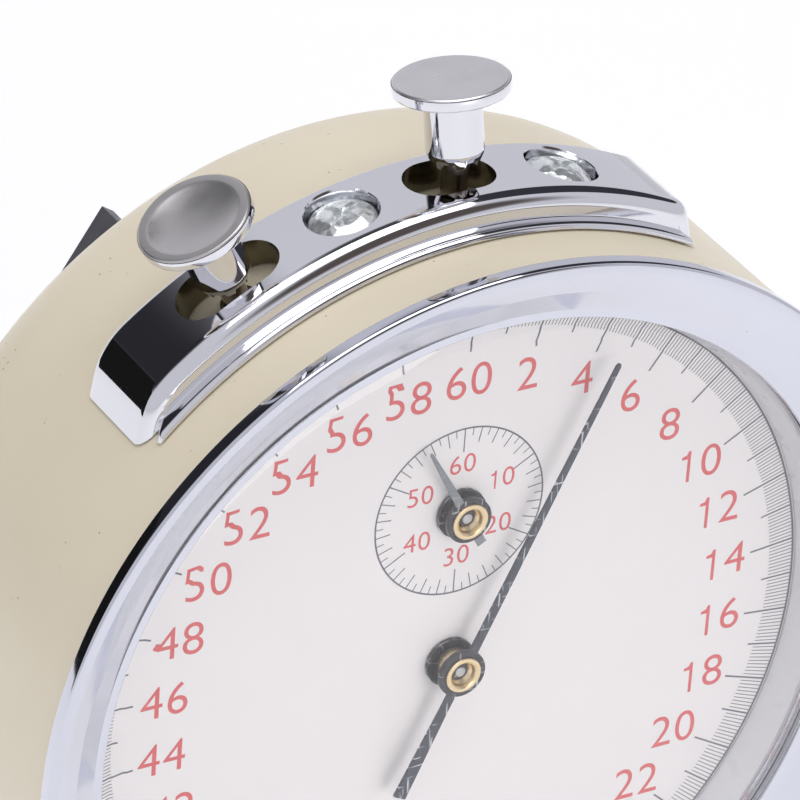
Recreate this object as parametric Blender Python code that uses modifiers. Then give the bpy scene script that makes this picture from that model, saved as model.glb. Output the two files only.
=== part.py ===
"""Mechanical stop clock: a round bench stopwatch with a dial, two buttons on a top bracket and a key.

Sizes are in millimetres and become metres where a mesh is made. Most pieces are modelled in the dial frame,
which has x to the right, y towards 12 o'clock and z out of the dial towards the reader. The empty
stopwatch_axis carries that frame into the world, where the dial faces -Y, 12 o'clock is +Z and the feet
stand on Z = 0.
"""

import math

import bmesh
import bpy
from mathutils import Matrix, Vector

MM = 0.001

# Case
CASE_RADIUS = 62.3
CASE_WALL = 1.5
CASE_FRONT_Z = 10.3
CASE_BACK_Z = -39.8
SHOULDER_RADIUS = 12.7
BACK_OPENING_RADIUS = 38.0
COVER_OVERLAP = 6.0
COVER_THICKNESS = 1.2
COVER_SCREW_INSET = 3.2
GAP = 0.3
RUNNING = 0.1

# Bezel, crystal and dial
BEZEL_OVERHANG = 0.65
BEZEL_HEIGHT = 2.1
BEZEL_CREST_INSET = 0.75
BEZEL_RIM_RADIUS = 53.6
BEZEL_RIM_Z = 7.7
CRYSTAL_LIP = 1.0
CRYSTAL_THICKNESS = 1.2
CRYSTAL_RISE = 4.3
DIAL_VIEW_RADIUS = 51.6
DIAL_PLATE_RADIUS = 56.0
DIAL_THICKNESS = 0.8
DIAL_RING_TOP_Z = 5.1

# Buttons and their bracket
START_ANGLE = 0.2
START_SLOT_ANGLE = -0.5
RESET_ANGLE = -27.8
BUTTON_Z = -6.9
BUTTON_TRAVEL = 3.0
CAP_RADIUS = 7.4
CAP_THICKNESS = 1.8
START_CAP_RISE = 17.3
RESET_CAP_RISE = 15.2
START_DISH = 0.3
RESET_DISH = 0.8
START_LEAN_BACK = 8.0
START_LEAN_LEFT = 3.5
STEM_RADIUS = 3.75
STEM_LENGTH = 9.4
PIN_RADIUS = 1.7
PIN_END_RADIUS = 49.6
BUSH_RADIUS = 2.9
SOCKET_DEPTH = 5.0
SOCKET_CLEARANCE = 0.9
START_SLOT_LENGTH = 12.2
RESET_SLOT_LENGTH = 14.5
STEM_CLEARANCE = 0.45
BRACKET_HEIGHT = 4.4
BRACKET_FRONT_Z = 1.0
BRACKET_BACK_Z = -13.3
BRACKET_EDGE = 2.0
BRACKET_FLANGE = 1.9
BRACKET_FLANGE_HEIGHT = 0.8
BRACKET_BASE_ANGLES = (-47.3, 30.2)
BRACKET_TOP_ANGLES = (-42.1, 27.0)
BRACKET_SCREW_ANGLES = (-13.5, 13.5)
BRACKET_SCREW_RECESS_RADIUS = 4.75
BRACKET_SCREW_HEAD_RADIUS = 4.2
BRACKET_SCREW_SHANK_RADIUS = 2.0
CROSS_TURN = 24.0

# Movement levels along z
FRONT_PLATE_Z = -9.5
PLATE_THICKNESS = 2.0
PLATE_SPACE = 14.0
PLATE_RADIUS = 53.5
LEVER_Z = -7.2
LEVER_THICKNESS = 1.6
WHEEL_THICKNESS = 1.0
PILLAR_RADIUS = 2.2
PILLAR_RING_RADIUS = 48.5
PILLAR_ANGLES = (12.0, 115.0, -118.0)

# Train
ARBOR_RADIUS = 1.0
PIVOT_RADIUS = 0.8
MINUTE_ARBOR_Y = 22.2
KEY_AXIS = (-27.5, 18.5)
MODULE_POWER = 0.75
MODULE_FINE = 0.4
MODULE_COUNTER = 0.5
GREAT_TEETH = 48
THIRD_PINION_TEETH = 8
THIRD_TEETH = 40
GREAT_THICKNESS = 1.6
SECONDS_PINION_TEETH = 8
FOURTH_TEETH = 80
ESCAPE_PINION_TEETH = 8
TRANSFER_TEETH = 64
TRANSFER_PINION_TEETH = 8
MINUTE_TEETH = 60
ESCAPE_TEETH = 30
ESCAPE_RADIUS = 7.0
ESCAPE_ANGLE = 80.0
PALLET_DISTANCE = 9.6
BALANCE_DISTANCE = 8.6
BALANCE_LINE_ANGLE = 30.0
BALANCE_RADIUS = 7.0
BARREL_RADIUS = 15.0
BARREL_LENGTH = 5.6
WINDING_ARBOR_RADIUS = 2.4
RATCHET_TEETH = 24
RATCHET_RADIUS = 8.0
HEART_MIN_RADIUS = 2.2
HEART_MAX_RADIUS = 4.4
MINUTE_WHEEL_Z = -2.0
TRANSFER_WHEEL_Z = -3.9

# Levers
CLICK_DISTANCE = 14.0
START_ARM = 18.0
LEVER_LEAD = 1.08
BRAKE_PIN_RADIUS = 1.0
HAMMER_PIVOT = (-37.0, 22.0)

# Hands
SECONDS_HAND_Z = 3.85
MINUTE_HAND_Z = 2.7
HAND_THICKNESS = 0.35
SECONDS_HAND_ANGLE = 25.5
SECONDS_HAND_LENGTH = 45.5
SECONDS_TAIL_LENGTH = 18.6
SECONDS_HAND_WIDTHS = (1.3, 0.7, 1.9)
MINUTE_HAND_ANGLE = -29.0
MINUTE_HAND_LENGTH = 12.8
MINUTE_TAIL_LENGTH = 4.4
MINUTE_HAND_WIDTHS = (1.2, 0.4, 1.3)
HUB_RADIUS = 3.45
COLLET_RADIUS = 2.65
COLLET_PROUD = 0.3
COLLET_RECESS_RADIUS = 1.6
COLLAR_TOP_Z = 0.9

# Winding key
KEY_REACH = 25.45
KEY_SPAN = 40.0
KEY_TILT = 33.0
KEY_THICKNESS = 2.0
KEY_EDGE = 4.0
KEY_HUB_RADIUS = 4.2
KEY_STEM_CLEARANCE = 2.8
KEY_SOCKET_DEPTH = 14.0

# Feet
FOOT_DROP = 7.0
FOOT_FRONT_Z = -2.0
FOOT_BACK_Z = -32.0
FOOT_INNER_ANGLE = 162.0
FOOT_OUTER_ANGLE = 144.0
PAD_THICKNESS = 2.0

# Worked-out places
CASE_BORE = CASE_RADIUS - CASE_WALL
BEZEL_RADIUS = CASE_RADIUS + BEZEL_OVERHANG
BEZEL_BASE_Z = CASE_FRONT_Z + GAP
BEZEL_CREST_Z = BEZEL_BASE_Z + BEZEL_HEIGHT
BEZEL_SKIRT_RADIUS = CASE_BORE - GAP
BEZEL_BACK_Z = DIAL_RING_TOP_Z + GAP
CRYSTAL_EDGE_RADIUS = BEZEL_RIM_RADIUS + CRYSTAL_LIP - GAP
CRYSTAL_BACK_Z = BEZEL_BACK_Z + GAP
BRACKET_FOOT_RADIUS = CASE_RADIUS + GAP
BRACKET_TOP_RADIUS = CASE_RADIUS + BRACKET_HEIGHT
SLOT_WIDTH = 2 * (STEM_RADIUS + STEM_CLEARANCE)
BUSH_TOP_RADIUS = CASE_RADIUS + 0.7
START_CAP_TOP = CASE_RADIUS + START_CAP_RISE
RESET_CAP_TOP = CASE_RADIUS + RESET_CAP_RISE
KEY_BACK_Z = CASE_BACK_Z - KEY_REACH
KEY_STEM_FRONT_Z = CASE_BACK_Z - KEY_STEM_CLEARANCE
FRONT_PLATE_BACK_Z = FRONT_PLATE_Z - PLATE_THICKNESS
BACK_PLATE_Z = FRONT_PLATE_BACK_Z - PLATE_SPACE
BACK_PLATE_BACK_Z = BACK_PLATE_Z - PLATE_THICKNESS
THIRD_WHEEL_Z = FRONT_PLATE_BACK_Z - 1.6
BALANCE_Z = FRONT_PLATE_BACK_Z - 3.2
BARREL_TOP_Z = FRONT_PLATE_BACK_Z - 4.2
FOURTH_WHEEL_Z = FRONT_PLATE_BACK_Z - 6.0
ESCAPE_WHEEL_Z = FRONT_PLATE_BACK_Z - 9.6
GREAT_WHEEL_Z = BARREL_TOP_Z - BARREL_LENGTH + 0.5
RATCHET_Z = BACK_PLATE_BACK_Z - 0.8
COVER_Z = CASE_BACK_Z - GAP
COVER_RADIUS = BACK_OPENING_RADIUS + COVER_OVERLAP
COVER_SCREW_RING = COVER_RADIUS - COVER_SCREW_INSET
FOOT_FLOOR_Y = -(BEZEL_RADIUS + FOOT_DROP)
WORLD_Y = (BEZEL_CREST_Z + KEY_BACK_Z) / 2
WORLD_Z = -FOOT_FLOOR_Y
START_PIVOT = (START_ARM, 43.0)
START_TURN = LEVER_LEAD * BUTTON_TRAVEL / START_ARM


def clear_scene():
    for obj in list(bpy.data.objects):
        bpy.data.objects.remove(obj, do_unlink=True)


clear_scene()
PARTS = bpy.data.collections.new("stopwatch")
CUTTERS = bpy.data.collections.new("stopwatch_cutters")
bpy.context.scene.collection.children.link(PARTS)
bpy.context.scene.collection.children.link(CUTTERS)


# Materials


def material(name, color, roughness, metallic=0.0):
    mat = bpy.data.materials.new(name)
    mat.use_nodes = True
    shader = mat.node_tree.nodes["Principled BSDF"]
    shader.inputs["Base Color"].default_value = (*color, 1.0)
    shader.inputs["Roughness"].default_value = roughness
    shader.inputs["Metallic"].default_value = metallic
    return mat


CREAM = material("cream_enamel", (0.70, 0.64, 0.50), 0.45)
CHROME = material("chrome", (0.82, 0.82, 0.85), 0.08, 1.0)
STEEL = material("steel", (0.56, 0.57, 0.60), 0.3, 1.0)
BRASS = material("brass", (0.75, 0.56, 0.27), 0.3, 1.0)
BLUED = material("blued_steel", (0.05, 0.06, 0.09), 0.35, 1.0)
GLASS = material("glass", (0.92, 0.95, 0.96), 0.03)
DIAL_WHITE = material("dial_white", (0.87, 0.83, 0.83), 0.5)
RING_GREY = material("ring_grey", (0.62, 0.64, 0.69), 0.4)
KEY_GREY = material("key_grey", (0.12, 0.12, 0.13), 0.45, 0.6)
RUBBER = material("rubber", (0.03, 0.03, 0.03), 0.8)


# Frames


def empty(name, parent=None, location=(0.0, 0.0, 0.0), rotation=(0.0, 0.0, 0.0)):
    obj = bpy.data.objects.new(name, None)
    PARTS.objects.link(obj)
    obj.parent = parent
    obj.location = [value * MM for value in location]
    obj.rotation_euler = rotation
    return obj


DIAL = empty("stopwatch_axis", None, (0.0, WORLD_Y, WORLD_Z), (math.radians(90), 0.0, 0.0))


def radial_frame(name, angle, z=0.0):
    """An empty on the dial axis whose y points out along the angle, for pieces on the drum's side."""
    return empty(name, DIAL, (0.0, 0.0, z), (0.0, 0.0, -math.radians(angle)))


# Shapes


def add(name, mesh, mat, parent=None, location=(0.0, 0.0, 0.0), rotation=(0.0, 0.0, 0.0), cutter=False):
    obj = bpy.data.objects.new(name, mesh)
    (CUTTERS if cutter else PARTS).objects.link(obj)
    obj.parent = parent or DIAL
    obj.location = [value * MM for value in location]
    obj.rotation_euler = rotation
    if cutter:
        obj.hide_render = True
        obj.display_type = "WIRE"
    else:
        mesh.materials.append(mat)
    return obj


def turned(name, profile, mat=None, segments=48, **place):
    """A solid of revolution about z. The profile runs down the outer side, or closes if it misses
    the axis."""
    mesh = bpy.data.meshes.new(name)
    points = [(r * MM, 0.0, z * MM) for r, z in profile]
    edges = [(i, i + 1) for i in range(len(points) - 1)]
    if profile[0][0] > 0.0:
        edges.append((len(points) - 1, 0))
    mesh.from_pydata(points, edges, [])
    obj = add(name, mesh, mat, **place)
    screw = obj.modifiers.new("turn", "SCREW")
    screw.angle = math.tau
    screw.steps = segments
    screw.render_steps = segments
    screw.use_merge_vertices = True
    screw.merge_threshold = 0.00001
    screw.use_smooth_shade = True
    return obj


def rod(name, radius, z_top, z_bottom, mat=None, segments=16, **place):
    return turned(name, [(0, z_top), (radius, z_top), (radius, z_bottom), (0, z_bottom)], mat,
                  segments, **place)


def circle(radius, segments=16, center=(0.0, 0.0), start=0.0):
    return [
        (
            center[0] + radius * math.sin(start + math.tau * i / segments),
            center[1] + radius * math.cos(start + math.tau * i / segments),
        )
        for i in range(segments)
    ]


def arc(radius, first, last, steps, center=(0.0, 0.0)):
    """Points on an arc, angles in degrees clockwise from y."""
    points = []
    for i in range(steps + 1):
        angle = math.radians(first + (last - first) * i / steps)
        points.append((center[0] + radius * math.sin(angle), center[1] + radius * math.cos(angle)))
    return points


def flat(name, outlines, z_top, z_bottom, mat=None, **place):
    """A plate: the first outline is its edge and the others are holes in it."""
    curve = bpy.data.curves.new(name, "CURVE")
    curve.dimensions = "2D"
    curve.fill_mode = "BOTH"
    curve.extrude = (z_top - z_bottom) / 2 * MM
    for outline in outlines:
        spline = curve.splines.new("POLY")
        spline.points.add(len(outline) - 1)
        for point, (x, y) in zip(spline.points, outline):
            point.co = (x * MM, y * MM, 0.0, 1.0)
        spline.use_cyclic_u = True
    source = bpy.data.objects.new(name + "_outline", curve)
    CUTTERS.objects.link(source)
    graph = bpy.context.evaluated_depsgraph_get()
    mesh = bpy.data.meshes.new_from_object(source.evaluated_get(graph))
    bpy.data.objects.remove(source, do_unlink=True)
    mesh.transform(Matrix.Translation((0.0, 0.0, (z_top + z_bottom) / 2 * MM)))
    clean = bmesh.new()
    clean.from_mesh(mesh)
    bmesh.ops.remove_doubles(clean, verts=clean.verts, dist=0.000001)
    bmesh.ops.recalc_face_normals(clean, faces=clean.faces)
    clean.to_mesh(mesh)
    clean.free()
    mesh.name = name
    mesh.materials.clear()
    return add(name, mesh, mat, **place)


def stadium(length, width, steps=8):
    """A slot's outline: two half circles joined by straight sides, along x."""
    half = (length - width) / 2
    right = [(x + half, y) for x, y in arc(width / 2, 0, 180, steps)]
    left = [(x - half, y) for x, y in arc(width / 2, 180, 360, steps)]
    return right + left


def gear_outline(teeth, module, phase=0.0, root_share=0.25):
    """Slender pointed teeth with backlash. The phase is the angle of a tooth's middle, in degrees."""
    pitch = math.tau / teeth
    tip = module * (teeth / 2 + 0.85)
    root = module * (teeth / 2 - 1.15)
    points = []
    for i in range(teeth):
        middle = math.radians(phase) + i * pitch
        for radius, share in ((root, -root_share), (tip, 0.0), (root, root_share)):
            angle = middle + share * pitch
            points.append((radius * math.sin(angle), radius * math.cos(angle)))
    return points


def boolean(obj, cutter, operation="DIFFERENCE"):
    modifier = obj.modifiers.new(cutter.name, "BOOLEAN")
    modifier.operation = operation
    modifier.solver = "EXACT"
    modifier.object = cutter


def smooth(obj):
    if obj.type == "MESH":
        obj.data.shade_smooth()
        obj.data.set_sharp_from_angle(angle=math.radians(35))


# Layout of the train


def polar(radius, angle, center=(0.0, 0.0)):
    angle = math.radians(angle)
    return (center[0] + radius * math.sin(angle), center[1] + radius * math.cos(angle))


def bearing(start, end):
    """Angle from start to end, clockwise from y, in degrees."""
    return math.degrees(math.atan2(end[0] - start[0], end[1] - start[1]))


def meeting_point(first, first_distance, second, second_distance, side):
    """The point at given distances from two axes, on the side to the right (1) or left (-1) of first
    to second."""
    span = math.dist(first, second)
    along = (first_distance**2 - second_distance**2 + span**2) / (2 * span)
    across = math.sqrt(first_distance**2 - along**2)
    ux = (second[0] - first[0]) / span
    uy = (second[1] - first[1]) / span
    return (first[0] + along * ux + side * across * uy, first[1] + along * uy - side * across * ux)


def centre_distance(teeth_a, teeth_b, module):
    return module * (teeth_a + teeth_b) / 2


CENTRE = (0.0, 0.0)
MINUTE = (0.0, MINUTE_ARBOR_Y)
BARREL = KEY_AXIS
THIRD = meeting_point(
    BARREL,
    centre_distance(GREAT_TEETH, THIRD_PINION_TEETH, MODULE_POWER),
    CENTRE,
    centre_distance(THIRD_TEETH, SECONDS_PINION_TEETH, MODULE_POWER),
    1,
)
TRANSFER = meeting_point(
    CENTRE,
    centre_distance(TRANSFER_TEETH, SECONDS_PINION_TEETH, MODULE_FINE),
    MINUTE,
    centre_distance(MINUTE_TEETH, TRANSFER_PINION_TEETH, MODULE_COUNTER),
    1,
)
ESCAPE = polar(centre_distance(FOURTH_TEETH, ESCAPE_PINION_TEETH, MODULE_FINE), ESCAPE_ANGLE)
PALLET = polar(PALLET_DISTANCE, BALANCE_LINE_ANGLE, ESCAPE)
BALANCE = polar(BALANCE_DISTANCE, BALANCE_LINE_ANGLE, PALLET)


def gap_phase(teeth, angle):
    """Phase that puts a tooth gap at the angle."""
    return angle + 180.0 / teeth


# Case


def build_case():
    shoulder_z = CASE_BACK_Z + SHOULDER_RADIUS
    shoulder_r = CASE_RADIUS - SHOULDER_RADIUS
    inner = SHOULDER_RADIUS - CASE_WALL
    steps = 4
    outside = [(shoulder_r + r, shoulder_z + z) for r, z in arc(SHOULDER_RADIUS, 90, 180, steps)]
    inside = [(shoulder_r + r, shoulder_z + z) for r, z in arc(inner, 180, 90, steps)]
    profile = [(CASE_RADIUS, CASE_FRONT_Z)] + outside
    profile += [(BACK_OPENING_RADIUS, CASE_BACK_Z), (BACK_OPENING_RADIUS, CASE_BACK_Z + CASE_WALL)]
    profile += inside + [(CASE_BORE, CASE_FRONT_Z)]
    case = turned("case_drum", profile, CREAM, 48)
    for label, angle in (("start", START_ANGLE), ("reset", RESET_ANGLE)):
        side = radial_frame(label + "_hole_frame", angle, BUTTON_Z)
        hole = rod(label + "_case_hole", BUSH_RADIUS + GAP, CASE_RADIUS + 4, CASE_RADIUS - 6, None, 16,
                   parent=side, rotation=(math.radians(-90), 0.0, 0.0), cutter=True)
        boolean(case, hole)
    for index, angle in enumerate(BRACKET_SCREW_ANGLES):
        side = radial_frame(f"screw_hole_frame_{index}", angle, BUTTON_Z)
        hole = rod(f"case_screw_hole_{index}", BRACKET_SCREW_SHANK_RADIUS + GAP, CASE_RADIUS + 4,
                   CASE_RADIUS - 6, None, 12, parent=side, rotation=(math.radians(-90), 0.0, 0.0),
                   cutter=True)
        boolean(case, hole)
    for index in range(3):
        x, y = polar(COVER_SCREW_RING, 60 + 120 * index)
        hole = rod(f"cover_screw_hole_{index}", 1.2 + GAP, CASE_BACK_Z + 4, CASE_BACK_Z - 4, None, 10,
                   location=(x, y, 0.0), cutter=True)
        boolean(case, hole)
    return case


def build_back_cover():
    holes = [circle(KEY_HUB_RADIUS - 1.0, 20, KEY_AXIS)]
    for index in range(3):
        holes.append(circle(1.2 + GAP, 10, polar(COVER_SCREW_RING, 60 + 120 * index)))
    cover = flat("back_cover", [circle(COVER_RADIUS, 40)] + holes, COVER_Z, COVER_Z - COVER_THICKNESS,
                 CHROME)
    for index in range(3):
        x, y = polar(COVER_SCREW_RING, 60 + 120 * index)
        head_z = COVER_Z - COVER_THICKNESS - GAP
        turned(f"back_cover_screw_{index + 1}",
               [(0, CASE_BACK_Z + 3.5), (1.2, CASE_BACK_Z + 3.5), (1.2, head_z), (2.5, head_z),
                (2.5, head_z - 0.8), (1.7, head_z - 1.4), (0, head_z - 1.5)],
               STEEL, 12, location=(x, y, 0.0))
    return cover


def build_bezel():
    crest = (BEZEL_RADIUS - BEZEL_CREST_INSET, BEZEL_CREST_Z)
    profile = [
        (crest[0] - 0.8, BEZEL_CREST_Z - 0.1),
        crest,
        (BEZEL_RADIUS - 0.2, BEZEL_CREST_Z - 0.5),
        (BEZEL_RADIUS, BEZEL_CREST_Z - 1.1),
        (BEZEL_RADIUS, BEZEL_BASE_Z),
        (BEZEL_SKIRT_RADIUS, BEZEL_BASE_Z),
        (BEZEL_SKIRT_RADIUS, BEZEL_BACK_Z),
        (BEZEL_RIM_RADIUS + CRYSTAL_LIP, BEZEL_BACK_Z),
        (BEZEL_RIM_RADIUS + CRYSTAL_LIP, BEZEL_RIM_Z - 0.5),
        (BEZEL_RIM_RADIUS, BEZEL_RIM_Z - 0.5),
        (BEZEL_RIM_RADIUS, BEZEL_RIM_Z),
    ]
    turned("bezel", profile, CHROME, 48)


def crystal_dome(radius, offset):
    """Height of the crystal's surface over its edge, a shallow parabola."""
    return offset + CRYSTAL_RISE * (1.0 - (radius / CRYSTAL_EDGE_RADIUS) ** 2)


def build_crystal():
    edge_top = CRYSTAL_BACK_Z + CRYSTAL_THICKNESS
    rim = BEZEL_RIM_RADIUS - GAP
    radii = (0.0, 24.0, 42.0, rim)
    top = [(r, crystal_dome(r, edge_top) - crystal_dome(rim, 0.0)) for r in radii]
    bottom = [(r, crystal_dome(r, CRYSTAL_BACK_Z) - crystal_dome(rim, 0.0)) for r in reversed(radii)]
    turned("crystal", top + [(CRYSTAL_EDGE_RADIUS, edge_top), (CRYSTAL_EDGE_RADIUS,
                                                               CRYSTAL_BACK_Z)] + bottom,
           GLASS, 32)


def build_dial():
    turned("dial_ring",
           [(BEZEL_SKIRT_RADIUS, DIAL_RING_TOP_Z), (BEZEL_SKIRT_RADIUS, GAP), (DIAL_VIEW_RADIUS, GAP),
            (DIAL_VIEW_RADIUS + 1.4, DIAL_RING_TOP_Z)], RING_GREY, 48)
    flat("dial_plate", [circle(DIAL_PLATE_RADIUS, 48), circle(2.2, 16), circle(2.2, 16, MINUTE)],
         0.0, -DIAL_THICKNESS, DIAL_WHITE)
    spacer = turned("dial_spacer",
                    [(BEZEL_SKIRT_RADIUS, -DIAL_THICKNESS - GAP), (BEZEL_SKIRT_RADIUS, FRONT_PLATE_Z + GAP),
                     (PLATE_RADIUS + 2.0, FRONT_PLATE_Z + GAP),
                     (DIAL_PLATE_RADIUS - 2.0, -DIAL_THICKNESS - GAP)],
                    STEEL, 36)
    cut_inside = DIAL_PLATE_RADIUS - 8.0
    cut_outside = BEZEL_SKIRT_RADIUS + 6.0
    for label, angle in (("start", START_ANGLE), ("reset", RESET_ANGLE)):
        side = radial_frame(label + "_spacer_frame", angle, BUTTON_Z)
        mesh = bpy.data.meshes.new("cutter_cube")
        shape = bmesh.new()
        bmesh.ops.create_cube(shape, size=1.0)
        bmesh.ops.scale(shape, vec=(9.0 * MM, (cut_outside - cut_inside) * MM, 7.0 * MM), verts=shape.verts)
        shape.to_mesh(mesh)
        shape.free()
        cutter = add(label + "_spacer_cut", mesh, None, side, (0.0, (cut_inside + cut_outside) / 2, 0.0),
                     cutter=True)
        boolean(spacer, cutter)


# Bracket and buttons


def build_bracket():
    foot = BRACKET_FOOT_RADIUS
    ledge = foot + BRACKET_FLANGE_HEIGHT
    top = BRACKET_TOP_RADIUS
    edge = BRACKET_EDGE
    flange_z = BRACKET_FRONT_Z + BRACKET_FLANGE
    profile = [
        (top, BRACKET_FRONT_Z - edge),
        (top - edge * 0.13, BRACKET_FRONT_Z - edge * 0.5),
        (top - edge * 0.5, BRACKET_FRONT_Z - edge * 0.13),
        (top - edge, BRACKET_FRONT_Z),
        (ledge, BRACKET_FRONT_Z + 0.2),
        (ledge, flange_z - 0.6),
        (ledge - 0.3, flange_z),
        (foot, flange_z),
        (foot, BRACKET_BACK_Z),
        (top - 0.8, BRACKET_BACK_Z),
        (top, BRACKET_BACK_Z + 0.8),
    ]
    bracket = turned("top_bracket", turn_order(profile), CHROME, 96)
    cutter = flat("bracket_wedge", [wedge_outline()], flange_z + 5, BRACKET_BACK_Z - 5, None, cutter=True)
    boolean(bracket, cutter, "INTERSECT")
    slots = (("start", START_SLOT_ANGLE, START_SLOT_LENGTH), ("reset", RESET_ANGLE, RESET_SLOT_LENGTH))
    for label, angle, length in slots:
        side = radial_frame(label + "_slot_frame", angle, BUTTON_Z)
        slot = flat(label + "_slot", [stadium(length, SLOT_WIDTH)], -CASE_RADIUS + 5, -CASE_RADIUS - 12,
                    None, parent=side, rotation=(math.radians(90), 0.0, 0.0), cutter=True)
        boolean(bracket, slot)
    seat = BRACKET_TOP_RADIUS - 3.0
    recess_radius = BRACKET_SCREW_RECESS_RADIUS
    hole_radius = BRACKET_SCREW_SHANK_RADIUS + GAP
    for index, angle in enumerate(BRACKET_SCREW_ANGLES):
        side = radial_frame(f"bracket_screw_frame_{index}", angle, BUTTON_Z)
        recess = turned(f"bracket_screw_recess_{index}",
                        [(0, top + 3), (recess_radius + 0.3, top + 3), (recess_radius + 0.3, top),
                         (recess_radius, top - 0.6), (recess_radius, seat), (hole_radius, seat),
                         (hole_radius, foot - 3), (0, foot - 3)],
                        None, 24, parent=side, rotation=(math.radians(-90), 0.0, 0.0), cutter=True)
        boolean(bracket, recess)
        build_bracket_screw(("left", "right")[index], side, seat + GAP)


def turn_order(profile):
    """The profile as a loop that runs down its outer side."""
    return profile[::-1] if signed_area(profile) > 0.0 else profile


def signed_area(profile):
    total = 0.0
    for (r0, z0), (r1, z1) in zip(profile, profile[1:] + profile[:1]):
        total += r0 * z1 - r1 * z0
    return total / 2


def wedge_outline():
    """The bracket's plan in the dial plane: sloping ends through the top and base corners."""
    beyond = 2.2
    ends = []
    for base_angle, top_angle in zip(BRACKET_BASE_ANGLES, BRACKET_TOP_ANGLES):
        base = Vector(polar(BRACKET_FOOT_RADIUS, base_angle))
        top = Vector(polar(BRACKET_TOP_RADIUS, top_angle))
        slope = top - base
        ends.append((tuple(base - slope * beyond), tuple(top + slope * beyond)))
    left, right = ends
    crown = (0.0, BRACKET_TOP_RADIUS + 30.0)
    return [left[0], left[1], crown, right[1], right[0]]


def build_bracket_screw(label, side, seat):
    head = BRACKET_SCREW_HEAD_RADIUS
    crown = seat + 2.2
    screw = turned(f"bracket_screw_{label}",
                   [(0, crown), (head * 0.45, crown - 0.15), (head * 0.8, crown - 0.6),
                    (head, crown - 1.3), (head, seat), (BRACKET_SCREW_SHANK_RADIUS, seat),
                    (BRACKET_SCREW_SHANK_RADIUS, CASE_BORE), (0, CASE_BORE)],
                   STEEL, 16, parent=side, rotation=(math.radians(-90), 0.0, 0.0))
    arm = 2.1
    half = 0.45
    cross = []
    for quarter in range(4):
        turn = 90.0 * quarter + CROSS_TURN
        along = polar(arm, turn)
        across = polar(half, turn + 90.0)
        corner = polar(half * math.sqrt(2.0), turn + 45.0)
        cross.append((along[0] - across[0], along[1] - across[1]))
        cross.append((along[0] + across[0], along[1] + across[1]))
        cross.append(corner)
    cutter = flat(f"bracket_screw_cross_{label}", [cross], -(crown - 1.3), -(crown + 2.0), None,
                  parent=side,
                  rotation=(math.radians(90), 0.0, 0.0), cutter=True)
    boolean(screw, cutter)


def build_button(label, angle, top, dish, lean_back, lean_left):
    """A headed stem that sits on a pin. It may lean back and to the left, about its foot."""
    side = radial_frame(label + "_button_axis", angle, BUTTON_Z)
    upright = (math.radians(-90), 0.0, 0.0)
    under = top - CAP_THICKNESS
    foot = under - STEM_LENGTH
    socket_top = foot + SOCKET_DEPTH
    socket = PIN_RADIUS + GAP
    mouth = PIN_RADIUS + SOCKET_CLEARANCE
    turned(f"{label}_button",
           [(0, top - dish), (CAP_RADIUS * 0.45, top - dish * 0.75), (CAP_RADIUS * 0.8, top - dish * 0.15),
            (CAP_RADIUS - 0.5, top), (CAP_RADIUS, top - 0.4), (CAP_RADIUS, under + 0.4),
            (CAP_RADIUS - 0.4, under), (STEM_RADIUS + 0.8, under - 0.3), (STEM_RADIUS, under - 1.0),
            (STEM_RADIUS, foot + 1.0), (STEM_RADIUS - 0.7, foot), (socket, foot),
            (mouth, socket_top), (0, socket_top)],
           CHROME, 20, parent=side, location=lean_shift(foot, lean_back, lean_left),
           rotation=(math.radians(-90 - lean_back), 0.0, math.radians(lean_left)))
    pin_top = socket_top - 2 * GAP
    collar = CASE_BORE - 1.6
    turned(f"{label}_button_pin",
           [(0, pin_top), (PIN_RADIUS, pin_top), (PIN_RADIUS, collar), (PIN_RADIUS + 0.9, collar),
            (PIN_RADIUS + 0.9, collar - 1.2), (PIN_RADIUS, collar - 1.2), (PIN_RADIUS,
                                                                           PIN_END_RADIUS + 0.5),
            (PIN_RADIUS - 0.5, PIN_END_RADIUS), (0, PIN_END_RADIUS)],
           STEEL, 10, parent=side, rotation=upright)
    bore = PIN_RADIUS + 0.12
    turned(f"{label}_bush",
           [(BUSH_RADIUS + 1.0, BUSH_TOP_RADIUS), (BUSH_RADIUS + 1.0, CASE_RADIUS + GAP),
            (BUSH_RADIUS, CASE_RADIUS + GAP), (BUSH_RADIUS, CASE_BORE - 1.0), (bore, CASE_BORE - 1.0),
            (bore, BUSH_TOP_RADIUS)],
           BRASS, 12, parent=side, rotation=upright)


def lean_shift(foot, lean_back, lean_left):
    """Where a leaning piece starts from, so that its point at the foot stays on the axis."""
    back = math.radians(lean_back)
    left = math.radians(lean_left)
    return (foot * math.sin(left) * math.cos(back), foot - foot * math.cos(left) * math.cos(back),
            foot * math.sin(back))


# Movement


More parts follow.
